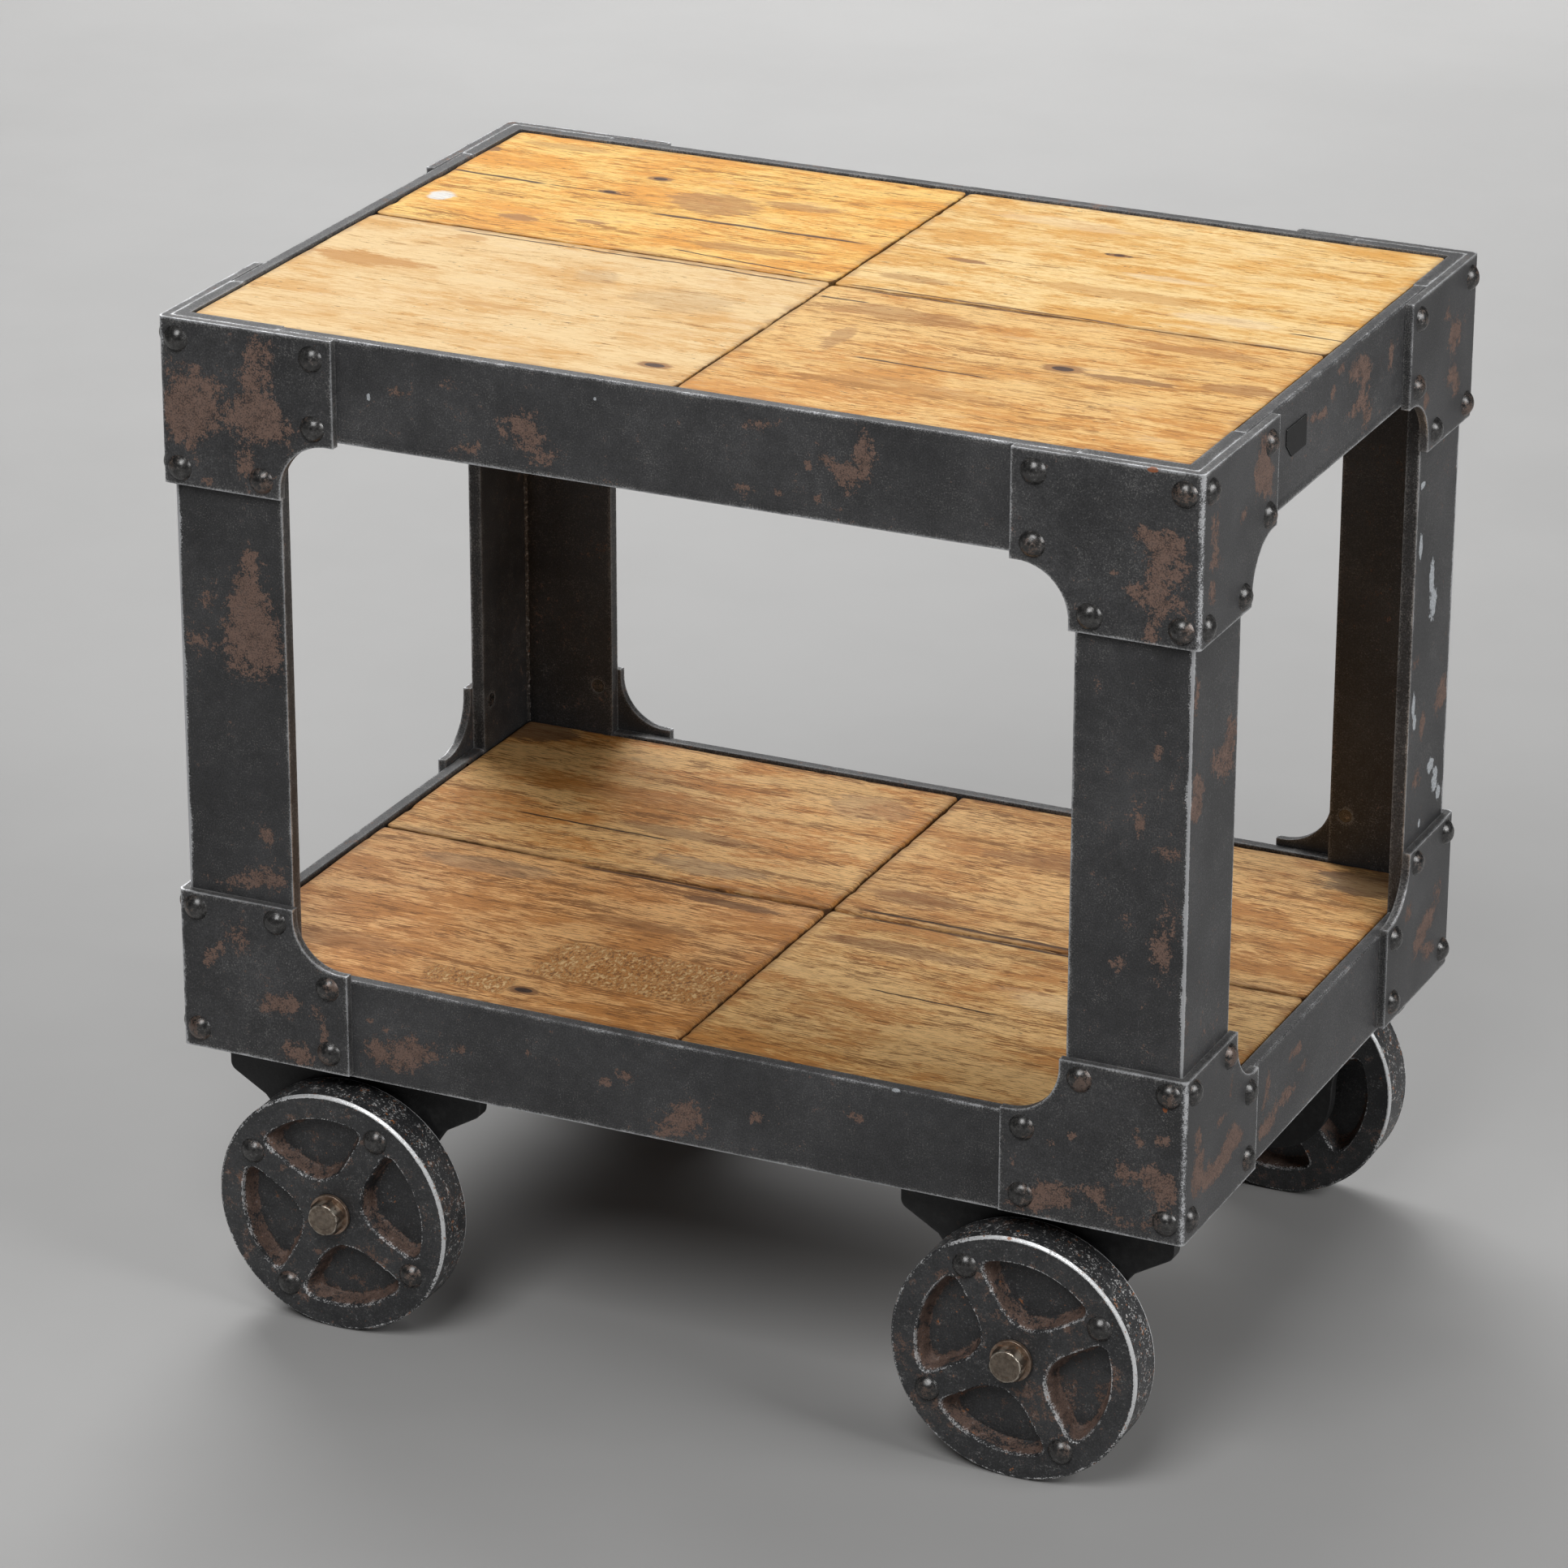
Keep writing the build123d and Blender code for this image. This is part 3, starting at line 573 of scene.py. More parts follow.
wheelLook = {
    "iron": (0.026, 0.0265, 0.028),
    "ironLight": (0.058, 0.059, 0.061),
    "rust": (0.175, 0.108, 0.082),
    "rustDark": (0.065, 0.042, 0.033),
    "bright": (0.86, 0.87, 0.88),
    "orange": (0.40, 0.15, 0.05),
    "rimWidth": 14.6 * mm,
    "spokeWidth": 16.0 * mm,
    "hubWidth": 19.5 * mm,
    "pocketDepth": 10.6 * mm,
    "pocketRounding": 8.5 * mm,
    "wallRun": 3.4 * mm,
    "chamfer": 1.2 * mm,
    "skin": 0.10 * mm,  # roughness of the cast faces
    "treadWaste": 0.0022,  # share of the radius that the tread's dents take away
    "dust": (0.20, 0.195, 0.19),
    "chip": (0.56, 0.56, 0.55),
    "relief": 0.5 * mm,
    "rings": 46,
    "spokes": 240,
    "highlightTurn": math.radians(48),  # where the rim's bright edge is brightest: a painted highlight on the side that faces the light
}


def smoothMost(a, b, reach):
    blend = max(reach - abs(a - b), 0.0) / reach
    return max(a, b) + blend * blend * reach / 4


# distance to the nearest pocket's outline on a wheel's face, negative inside it
def pocketDistance(x, z, radius, pocketTurn):
    look = wheelLook
    away = math.hypot(x, z)
    quarter = math.pi / 2
    turn = (math.atan2(z, x) - pocketTurn + quarter / 2) % quarter - quarter / 2
    along, beside = away * math.cos(turn), abs(away * math.sin(turn))
    rimSide = away - (radius - look["rimWidth"])
    spokeSide = look["spokeWidth"] / 2 - (along - beside) / math.sqrt(2)
    hubSide = look["hubWidth"] - along
    return smoothMost(smoothMost(rimSide, spokeSide, look["pocketRounding"]), hubSide, look["pocketRounding"])


def wheelMesh(corner, seed):
    look = wheelLook
    node = f"wheel_{corner}"
    low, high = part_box(node)
    middle = (low + high) / 2
    radius, half = (high.x - low.x) / 2, (high.y - low.y) / 2
    bore = min(math.hypot(v.co.x - middle.x, v.co.z - middle.z) for v in frame["nodes"][node].data.vertices)
    studLow, studHigh = boxOf(solidsOf(f"wheel_studs_{corner}")[0])
    stud = (studLow + studHigh) / 2 - middle
    pocketTurn = math.atan2(stud.z, stud.x) + math.pi / 4
    salt = Vector((seed * 3.7, seed * 9.1, seed))

    # radius and side of each ring: up one face, over the tread and down the other
    count = look["rings"]
    rings = [(bore + (radius - look["chamfer"] - bore) * (k / count), -1) for k in range(count + 1)]
    tread = [(radius, -1 + look["chamfer"] / half)] + [(radius, -0.75 + 0.25 * k) for k in range(7)]
    tread += [(radius, 1 - look["chamfer"] / half)]
    rings += tread + [(r, 1) for r, _ in reversed(rings)]

    bm = bmesh.new()
    layer = bm.verts.layers.float.new("pocketDistance")
    rows = []
    for r, side in rings:
        row = []
        for k in range(look["spokes"]):
            turn = 2 * math.pi * k / look["spokes"]
            x, z = r * math.cos(turn), r * math.sin(turn)
            y = side * half
            outline = 20 * mm  # away from any pocket
            if abs(side) == 1:
                outline = pocketDistance(x, z, radius, pocketTurn)
                into = min(1.0, max(0.0, -outline / look["wallRun"]))
                rough = look["skin"] * (1 + noise.noise(Vector((x * 160, side, z * 160)) + salt))
                y -= side * look["pocketDepth"] * math.sin(into * math.pi / 2)
                y -= side * (rough if r < radius - 3 * mm else 0.0)
            elif abs(side) < 0.9:
                dent = 1 + noise.noise(Vector((x * 130, y * 130, z * 130)) + salt)
                x, z = x * (1 - look["treadWaste"] * dent), z * (1 - look["treadWaste"] * dent)
            vert = bm.verts.new((middle.x + x, middle.y + y, middle.z + z))
            vert[layer] = outline / mm
            row.append(vert)
        rows.append(row)
    for near, far in zip(rows, rows[1:] + rows[:1]):
        for k in range(look["spokes"]):
            after = (k + 1) % look["spokes"]
            bm.faces.new((near[k], near[after], far[after], far[k]))
    bmesh.ops.recalc_face_normals(bm, faces=bm.faces)
    return bm


def wheelFinish(corner, shift):
    look = wheelLook
    low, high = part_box(f"wheel_{corner}")
    middle = (low + high) / 2
    radius, half = (high.x - low.x) / 2, (high.y - low.y) / 2
    f = Finish(f"wheel iron {corner}")
    offset = f.vector("SUBTRACT", f.place, tuple(middle))
    x, y, z = (f.axis(offset, letter) for letter in "XYZ")
    away = f.vector("LENGTH", f.join(x, 0.0, z), out="Value")
    outline = f.node("ShaderNodeAttribute", {"attribute_name": "pocketDistance"}, out="Fac")
    onFace = f.step(abs(y), half - 12 * mm, half - 10.5 * mm)
    onFace = onFace * f.step(away, radius - 0.5 * mm, radius - 1.0 * mm)
    mottle = f.cloud(160, 7, 0.72, shift=shift)
    fine = f.cloud(1050, 3, 0.68)
    ragged = f.cloud(90, 9, 0.78, shift=shift + 5)
    broad = f.cloud(26, 2, 0.5, shift=shift)

    tone = mottle * 0.4 + fine * 0.6 + (broad - 0.5) * 0.4
    colour = f.mix(f.step(tone, 0.38, 0.62), look["iron"], look["ironLight"])
    dust = f.step((fine - 0.5) * 1.4 + (mottle - 0.5) * 0.6, 0.16, 0.30)
    colour = f.mix(dust * 0.6, colour, look["dust"])

    wall = f.step(outline, 0.2, -0.6) * f.step(outline, -5.2, -2.8)
    besideWall = f.step(outline, 9.0, 0.0) * f.step(outline, -0.5, 0.3)
    rustCover = wall * 0.26 + besideWall * 0.06 + (broad - 0.5) * 0.5
    tooth = (ragged - 0.5) + (mottle - 0.5) * 0.9 + (fine - 0.5) * 0.5
    rust = f.step(rustCover + tooth, 0.13, 0.22)
    rustTone = f.mix(f.step(fine * 0.5 + mottle * 0.5, 0.38, 0.58), look["rustDark"], look["rust"])
    colour = f.mix(rust * 0.88, colour, rustTone)

    # the bright ring round the rim's edge is wear all the way round, with a painted highlight added on the
    # side that faces the light
    around = (x * math.cos(look["highlightTurn"]) + z * math.sin(look["highlightTurn"])) / away
    highlightArc = f.step(around, 0.15, 0.72)
    nearFace = f.step(abs(y), half - 2.2 * mm, half - 1.2 * mm)
    ring = f.step(away, radius - 2.4 * mm, radius - 1.3 * mm) * nearFace
    grain = (fine - 0.5) * 1.2 + (mottle - 0.5) * 0.9
    wear = f.step(ring * (highlightArc * 0.45 + 0.30) + grain, 0.32, 0.46)
    lip = f.step(abs(outline - 0.3), 1.5, 0.2) * onFace
    wear = wear.most(f.step(lip * 0.36 + grain + (broad - 0.5) * 0.5, 0.34, 0.50) * 0.7)
    colour = f.mix(wear * 0.92, colour, look["bright"])

    onTread = 1.0 - f.step(away, radius - 0.6 * mm, radius - 1.4 * mm)
    specks = f.cloud(700, 3, 0.7, shift=shift + 2)
    chips = f.step((specks - 0.5) * 1.3 + (mottle - 0.5) * 0.9 + onTread * 0.07, 0.20, 0.25)
    colour = f.mix(chips * (onTread * 0.7 + 0.2), colour, look["chip"])
    dots = f.cloud(330, 4, 0.65, shift=shift + 9) - 0.5
    dots = f.step(dots + (mottle - 0.5) * 0.5 + onTread * 0.05, 0.185, 0.225)
    colour = f.mix(dots * 0.8, colour, look["orange"])
    rough = 0.46 + (mottle - 0.5) * 0.3 + rust * 0.2 - wear * 0.14
    height = mottle * 0.6 + fine * 0.4 - rust * 0.25
    bump = f.bump(height, look["relief"])
    return f.done(Base_Color=colour, Roughness=rough, Metallic=wear * 0.45, Normal=bump)


for number, corner in enumerate(corners):
    body = f"wheel_{corner}_body"
    iron = wheelFinish(corner, number * 4.1)
    cast = wheelMesh(corner, number + 1)
    newPiece(f"wheel_{corner}_cast", cast, iron, body, [f"wheel_{corner}"], smooth=38)
    rivetPiece(f"wheel_studs_{corner}", body, domes, True)
print("wheels done")


plankLook = {
    "seamWobble": 0.35 * mm,
    "rimWobble": 0.25 * mm,
    "cornerRadius": 5.0 * mm,
    "relief": 0.16 * mm,
    "warp": 0.25 * mm,
    "sunk": 0.2 * mm,  # how far the worn top lies below the new one
    "chipDepth": 5 * mm,
    "step": 3.0 * mm,
    "edgeSteps": (0.0, 0.3, 0.7, 1.2, 1.8, 2.6, 3.6, 5.0),
}


def plankLines(length):
    near = [s * mm for s in plankLook["edgeSteps"]]
    count = max(2, round((length - 2 * near[-1]) / plankLook["step"]))
    middle = [near[-1] + (length - 2 * near[-1]) * k / count for k in range(1, count)]
    return near + middle + [length - s for s in reversed(near)]


# slant: how far in the front or back seam lies at its left and right ends, in millimetres
def plankMesh(low, high, seed, slant, rounding):
    length, width = high.x - low.x, high.y - low.y
    salt = Vector((seed * 13.1, seed * 7.7, seed * 3.3))
    isSeam = {"left": abs(low.x) < 5 * mm, "right": abs(high.x) < 5 * mm,
              "front": low.y > -0.18, "back": high.y < 0.18}

    def wobble(side, at):
        reach = plankLook["seamWobble"] if isSeam[side] else plankLook["rimWobble"]
        phase = {"left": 0.0, "right": 31.0, "front": 57.0, "back": 83.0}[side]
        slow = noise.noise(Vector((at * 16, phase, 0)) + salt)
        quick = noise.noise(Vector((at * 110, phase, 5)) + salt)
        return reach * (0.55 + 0.5 * slow + 0.45 * quick)

    def roundOver(side, at):
        phase = {"left": 11.0, "right": 23.0, "front": 41.0, "back": 67.0}[side]
        slow = noise.noise(Vector((at * 25, phase, 9)) + salt)
        chip = max(0.0, noise.noise(Vector((at * 70, phase, 17)) + salt) - 0.35)
        return rounding * (1.0 + 0.6 * slow) + chip * plankLook["chipDepth"]

    def seamSlant(side, part):
        near, far = slant.get(side, (0.0, 0.0))
        return (near + (far - near) * part) * mm

    # rounds the corner: the square outside the corner's centre becomes a quarter disc
    def inCorner(u, v):
        r = plankLook["cornerRadius"]
        nearU, nearV = min(u, length - u), min(v, width - v)
        if nearU >= r or nearV >= r:
            return 0.0, 0.0
        p, q = 1 - nearU / r, 1 - nearV / r
        shiftU = r * p * (1 - math.sqrt(1 - q * q / 2))
        shiftV = r * q * (1 - math.sqrt(1 - p * p / 2))
        return (shiftU if u < length / 2 else -shiftU), (shiftV if v < width / 2 else -shiftV)

    bm = bmesh.new()
    rimLayer = bm.verts.layers.float.new("rimDistance")
    xs, ys = plankLines(length), plankLines(width)
    rows = []
    for v in ys:
        row = []
        for u in xs:
            part, share = u / length, v / width
            cornerX, cornerY = inCorner(u, v)
            x = low.x + wobble("left", v) + part * (length - wobble("left", v) - wobble("right", v)) + cornerX
            front = wobble("front", u) + seamSlant("front", part)
            back = wobble("back", u) + seamSlant("back", part)
            y = low.y + front + share * (width - front - back) + cornerY
            drop = 0.0
            sides = (("left", u, v), ("right", length - u, v), ("front", v, u), ("back", width - v, u))
            for side, distance, at in sides:
                r = roundOver(side, at)
                if distance < r:
                    drop = max(drop, r * (1 - math.sqrt(max(0.0, 1 - (1 - distance / r) ** 2))))
            relief = noise.noise(Vector((x * 30, y * 260, 0)) + salt) * plankLook["relief"] * 0.5
            relief += noise.noise(Vector((x * 7, y * 30, 3)) + salt) * plankLook["warp"]
            z = high.z - drop - plankLook["sunk"] + relief
            vert = bm.verts.new((x, y, z))
            vert[rimLayer] = min(u, length - u, v, width - v) / mm
            row.append(vert)
        rows.append(row)
    for near, far in zip(rows, rows[1:]):
        for k in range(len(xs) - 1):
            bm.faces.new((near[k], near[k + 1], far[k + 1], far[k]))
    loop = rows[0][:-1] + [row[-1] for row in rows[:-1]] + rows[-1][:0:-1] + [row[0] for row in rows[:0:-1]]
    under = [bm.verts.new((vert.co.x, vert.co.y, low.z)) for vert in loop]
    for k, vert in enumerate(loop):
        after = (k + 1) % len(loop)
        bm.faces.new((loop[after], vert, under[k], under[after]))
    bm.faces.new(under)
    bmesh.ops.recalc_face_normals(bm, faces=bm.faces)
    return bm


# a thin dark line along the grain, from one point of the deck to another
def crackOn(f, x, y, waver, start, end, half):
    share = (x - start[0] * mm) / ((end[0] - start[0]) * mm)
    offset = y - (share * ((end[1] - start[1]) * mm) + start[1] * mm) + (waver - 0.5) * 9 * mm
    ends = f.step(share + (waver - 0.5) * 0.3, 0.0, 0.10) * f.step(share + (waver - 0.5) * 0.3, 1.0, 0.86)
    return f.step(abs(offset) / (half * mm), 1.3, 0.5) * ends


# Old pine, by depth of tone: pale, deep, orange, brown. Marks are placed in millimetres from
# the middle of the cart: knots (x, y, size), cracks (start, end, half width), stains
# (x, y, half length, half width, tone, strength).
def pine(name, node, look):
    low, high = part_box(node)
    top = high.z
    f = Finish(name)
    shift = look["shift"]
    x, y, z = (f.axis(f.place, letter) for letter in "XYZ")
    wave = f.cloud(1, 2, 0.5, stretch=(8, 24, 24), shift=shift) - 0.5
    wavelet = f.cloud(1, 3, 0.6, stretch=(45, 120, 120), shift=shift + 2) - 0.5
    across = y + wave * 16 * mm + wavelet * 3.4 * mm
    for kx, ky, size in look["knots"]:
        around = f.spot((kx * mm, ky * mm, top), (size * 6 * mm, size * 2.4 * mm, 0.2))
        across = across - (y - ky * mm) * around * 0.8
    flow = f.join(x, across, z)

    blotch = f.cloud(1, 5, 0.62, stretch=(13, 30, 20), shift=shift + 4)
    bands = f.cloud(1, 4, 0.6, stretch=(7, 120, 20), shift=shift + 6, at=flow)
    smear = f.cloud(1, 7, 0.74, stretch=(26, 100, 40), shift=shift + 8, at=flow)
    smudge = f.cloud(1, 7, 0.74, stretch=(20, 74, 40), shift=shift + 10, at=flow)
    fibre = f.cloud(1, 5, 0.72, stretch=(75, 900, 200), shift=shift + 12, at=flow)
    hair = f.cloud(1, 4, 0.65, stretch=(190, 2300, 300), shift=shift + 14, at=flow)
    flecks = f.cloud(1, 3, 0.6, stretch=(150, 640, 100), shift=shift + 16, at=flow)
    grit = f.cloud(620, 3, 0.6, shift=shift)

    tone = bands * 0.45 + blotch * 0.55 + (blotch - 0.5) * 0.5
    tone = tone + (fibre - 0.5) * 0.9 + (hair - 0.5) * 0.6 + look["depth"]
    colour = f.mix(f.step(tone, 0.38, 0.60), look["pale"], look["deep"])
    warm = f.step(smear + (blotch - 0.5) * 0.9 + (fibre - 0.5) * 0.8 + look["orangeAmount"], 0.50, 0.61)
    colour = f.mix(warm * 0.75, colour, look["orange"])
    dirty = f.step(smudge + (bands - 0.5) * 0.7 + (fibre - 0.5) * 1.0 + look["brownAmount"], 0.59, 0.71)
    colour = f.mix(dirty * 0.68, colour, look["brown"])
    bare = f.step(smudge * 0.5 + smear * 0.5 - (fibre - 0.5) * 0.4, 0.45, 0.33)
    colour = f.mix(bare * look["scuff"], colour, look["scuffTone"])
    for sx, sy, long, wide, stain, strength in look["stains"]:
        area = f.spot((sx * mm, sy * mm, top), (long * 1.4 * mm, wide * 1.4 * mm, 0.2))
        mark = f.step(area * 1.25 + (smear - 0.5) * 2.4 + (fibre - 0.5) * 1.5, 0.22, 0.52)
        colour = f.mix(mark * f.step(area, 0.0, 0.15) * strength, colour, stain)
    colour = f.mix(f.step(fibre * 0.6 + hair * 0.4, 0.46, 0.60) * look["grain"], colour, look["brown"])
    dashes = f.step(flecks + (smear - 0.5) * 0.5, 0.665, 0.73)
    colour = f.mix(dashes * 0.65, colour, look["dark"])

    for kx, ky, size in look["knots"]:
        spot = (kx * mm, ky * mm, top)
        ring = f.spot(spot, (size * 3.6 * mm, size * 1.9 * mm, 0.2))
        core = f.spot(spot, (size * 1.8 * mm, size * 0.95 * mm, 0.2))
        colour = f.mix(f.step(ring + (fibre - 0.5) * 0.9, 0.16, 0.50) * 0.85, colour, look["brown"])
        colour = f.mix(f.step(core + (smear - 0.5) * 0.7, 0.14, 0.34), colour, look["dark"])
    split = 0.0
    for start, end, half in look["cracks"]:
        split = crackOn(f, x, y, wavelet * 0.35 + 0.5, start, end, half) + split
    if isinstance(split, Wire):
        colour = f.mix(split.least(1.0) * f.step(fibre, 0.24, 0.40) * 0.95, colour, look["dark"])

    sawn = 0.0
    for sx, sy, long, wide in look["sawn"]:
        away = abs(x - sx * mm) / (long * mm) + (smear - 0.5) * 1.0
        beside = abs(y - sy * mm) / (wide * mm) + (smudge - 0.5) * 1.0
        sawn = f.step(away.most(beside), 1.05, 0.90) + sawn
    rise = fibre * 0.7 + hair * 0.3 - dashes * 0.35 + bands * 0.3 - split * 1.2
    if isinstance(sawn, Wire):
        cuts = f.cloud(1, 3, 0.65, stretch=(560, 330, 100), shift=shift + 20)
        teeth = f.step(cuts, 0.50, 0.60)
        ground = f.mix(f.step(smear, 0.4, 0.6), look["deep"], look["orange"])
        ground = f.mix(f.step(cuts, 0.50, 0.36) * 0.75, ground, look["dark"])
        colour = f.mix(sawn.least(1.0) * 0.9, colour, f.mix(teeth * 0.75, ground, look["sawnTone"]))
        rise = rise + sawn.least(1.0) * teeth * 1.5

    rim = f.node("ShaderNodeAttribute", {"attribute_name": "rimDistance"}, out="Fac")
    grime = f.step(rim + (smear - 0.5) * 16 + (smudge - 0.5) * 12, look["grimeReach"], -0.5)
    colour = f.mix(grime * look["grime"], colour, look["brown"])
    seam = f.step(rim + (smear - 0.5) * 2.4, 0.6, 0.0)
    colour = f.mix(seam * 0.8, colour, look["dark"])

    rise = rise + grit * 0.15
    rough = look["rough"] + (fibre - 0.5) * 0.25 + (smudge - 0.5) * 0.3 + dirty * 0.08
    bump = f.bump(rise, look["relief"])
    return f.done(Base_Color=colour, Roughness=rough, Specular_IOR_Level=look["gloss"], Normal=bump)


topWood = {
    "pale": (0.90, 0.620, 0.315), "deep": (0.82, 0.500, 0.190), "orange": (0.77, 0.370, 0.082),
    "brown": (0.300, 0.130, 0.036), "dark": (0.070, 0.030, 0.014), "scuffTone": (0.92, 0.69, 0.41),
    "depth": 0.0, "orangeAmount": 0.0, "brownAmount": 0.0, "scuff": 0.5, "grain": 0.38,
    "grime": 0.50, "grimeReach": 5.0, "rough": 0.54, "gloss": 0.24, "relief": 0.30 * mm,
    "knots": [], "cracks": [], "stains": [], "sawn": [], "slant": {}, "round": 1.0 * mm,
}
shelfWood = {
    **topWood,
    "pale": (0.68, 0.425, 0.190), "deep": (0.53, 0.280, 0.098), "orange": (0.53, 0.215, 0.047),
    "brown": (0.190, 0.080, 0.026), "dark": (0.040, 0.018, 0.009), "scuffTone": (0.76, 0.50, 0.24),
    "sawnTone": (0.86, 0.60, 0.30), "brownAmount": 0.055, "scuff": 0.40, "grain": 0.55, "grime": 0.55,
    "grimeReach": 6.5, "relief": 0.42 * mm, "round": 2.2 * mm,
}

# tones of the stains
greyish = (0.42, 0.275, 0.150)
honey = (0.60, 0.300, 0.080)
cream = (0.86, 0.660, 0.400)
planks = {
    "upper_plank_front_left": {
        "pale": (0.84, 0.600, 0.300), "deep": (0.76, 0.480, 0.196), "orange": (0.70, 0.370, 0.098),
        "orangeAmount": -0.055, "brownAmount": -0.075, "scuff": 0.7, "grain": 0.17,
        "knots": [(-25, -163, 4.5)],
        "stains": [(-250, -65, 38, 11, honey, 0.95), (-215, -5, 12, 5, honey, 0.6),
                   (-120, -40, 14, 12, greyish, 0.30), (-60, -60, 34, 20, greyish, 0.28),
                   (-150, -110, 22, 4, honey, 0.5), (-20, -175, 25, 6, honey, 0.5)],
        "cracks": [((-235, 4), (-90, 1), 0.8), ((-120, 3), (-4, -2), 1.0)], "slant": {"back": (-2.6, 2.6)},
    },
    "upper_plank_back_left": {
        "pale": (0.95, 0.605, 0.175), "deep": (0.88, 0.455, 0.075), "orange": (0.80, 0.330, 0.034),
        "orangeAmount": 0.035, "brownAmount": 0.01, "depth": 0.02, "scuff": 0.35, "grain": 0.42,
        "knots": [(-170, 140, 3.6), (-185, 105, 3.4)],
        "stains": [(-268, 58, 9, 8, (0.84, 0.82, 0.78), 1.0), (-210, 40, 17, 6, (0.36, 0.16, 0.045), 0.8),
                   (-170, 49, 12, 4, (0.36, 0.16, 0.045), 0.8),
                   (-120, 110, 32, 22, (0.42, 0.215, 0.075), 0.65),
                   (-75, 125, 26, 8, (0.42, 0.215, 0.075), 0.6), (-285, 153, 6, 5, (0.10, 0.05, 0.03), 0.7),
                   (-70, 40, 40, 8, (0.42, 0.20, 0.05), 0.6), (-250, 175, 30, 6, (0.42, 0.20, 0.05), 0.45)],
        "cracks": [((-290, 107), (-222, 103), 1.5), ((-225, 103), (-165, 104), 0.7),
                   ((-152, 79), (-4, 77), 1.6), ((-110, 24), (-10, 13), 0.9)],
        "slant": {"front": (2.6, -2.6)},
    },
    "upper_plank_front_right": {
        "pale": (0.85, 0.540, 0.202), "deep": (0.73, 0.382, 0.096), "orange": (0.65, 0.272, 0.042),
        "orangeAmount": 0.01, "brownAmount": 0.035, "depth": 0.02, "scuff": 0.4, "grain": 0.42,
        "knots": [(170, -77, 5.5)],
        "stains": [(205, -80, 30, 5, (0.28, 0.125, 0.036), 0.8), (60, -30, 50, 12, (0.40, 0.185, 0.050), 0.6),
                   (42, -78, 7, 22, (0.42, 0.21, 0.07), 0.6), (265, -70, 22, 10, (0.38, 0.17, 0.045), 0.7),
                   (225, -20, 40, 8, (0.45, 0.21, 0.06), 0.6), (110, -140, 60, 12, (0.52, 0.26, 0.07), 0.5)],
        "cracks": [((60, -105), (145, -108), 0.9), ((15, 0), (145, 1), 1.0), ((2, -19), (34, -18), 1.0)],
    },
    "upper_plank_back_right": {
        "pale": (0.91, 0.645, 0.290), "deep": (0.80, 0.480, 0.145), "orange": (0.72, 0.342, 0.058),
        "brownAmount": -0.02, "scuff": 0.6, "grain": 0.26, "knots": [(122, 118, 2.6)],
        "stains": [(122, 118, 8, 2.4, (0.03, 0.014, 0.008), 1.0), (50, 73, 14, 3.4, (0.30, 0.13, 0.04), 0.85),
                   (150, 55, 60, 9, (0.60, 0.30, 0.07), 0.6), (215, 35, 34, 10, cream, 0.6),
                   (75, 160, 50, 9, cream, 0.45), (160, 88, 30, 5, cream, 0.6),
                   (35, 30, 26, 6, (0.42, 0.2, 0.05), 0.6)],
        "cracks": [((5, 7), (185, 5), 0.9), ((255, 30), (290, 28), 0.8)],
    },
    "lower_plank_front_left": {
        "orangeAmount": 0.05, "pale": (0.80, 0.443, 0.170), "deep": (0.63, 0.292, 0.088),
        "knots": [(-105, -168, 4.5)],
        "stains": [(-35, -115, 9, 4, (0.05, 0.025, 0.012), 0.8), (-15, -108, 6, 3, (0.05, 0.025, 0.012), 0.8),
                   (-50, -12, 34, 5, (0.12, 0.055, 0.022), 0.7), (-200, -20, 50, 12, greyish, 0.5),
                   (-230, -150, 40, 14, (0.30, 0.13, 0.04), 0.5), (-90, -60, 40, 8, (0.26, 0.12, 0.04), 0.5)],
        "sawn": [(-59, -122, 56, 26), (-140, -167, 26, 11)], "cracks": [((-160, 2), (-40, 0), 1.2)],
        "slant": {"back": (-0.5, 1.5)},
    },
    "lower_plank_back_left": {
        "pale": (0.84, 0.505, 0.198), "deep": (0.67, 0.342, 0.104), "orange": (0.62, 0.240, 0.045),
        "orangeAmount": 0.03,
        # the first entry darkens the back-left corner of the shelf with a grey-brown patch
        "stains": [(-280, 180, 34, 22, (0.12, 0.085, 0.055), 0.75),
                   (-175, 110, 80, 14, (0.52, 0.21, 0.045), 0.6), (-90, 30, 40, 12, greyish, 0.6),
                   (-40, 150, 30, 20, greyish, 0.4), (-120, 70, 50, 8, (0.20, 0.09, 0.03), 0.5)],
        "cracks": [((-230, 60), (-120, 57), 0.9)], "slant": {"front": (1.0, 0.0)},
    },
    "lower_plank_front_right": {
        "pale": (0.81, 0.510, 0.210), "deep": (0.66, 0.372, 0.126),
        "stains": [(60, -30, 50, 10, (0.24, 0.115, 0.045), 0.55), (180, -60, 50, 14, cream, 0.25)],
        "cracks": [((10, 4), (180, 2), 1.3), ((60, -85), (150, -88), 0.7)],
    },
    "lower_plank_back_right": {
        "pale": (0.82, 0.495, 0.197), "deep": (0.65, 0.332, 0.101),
        # the first entry darkens the back-right corner of the shelf with a grey-brown patch
        "stains": [(265, 170, 34, 22, (0.12, 0.085, 0.055), 0.7), (90, 120, 50, 14, (0.26, 0.12, 0.04), 0.5),
                   (40, 40, 34, 12, (0.24, 0.11, 0.04), 0.5)],
        "cracks": [((8, 13), (190, 11), 1.5)],
    },
}
for number, (node, plan) in enumerate(planks.items()):
    wood, slot = (topWood, "top_wood") if node.startswith("upper") else (shelfWood, "shelf_wood")
    look = {**wood, "shift": number * 5.3, **plan}
    bm = plankMesh(*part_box(node), number + 1, look["slant"], look["round"])
    finish = pine("pine " + node.replace("_", " "), node, look)
    newPiece(node + "_worn", bm, finish, "cart_frame", [node], smooth=40)
print("planks done")


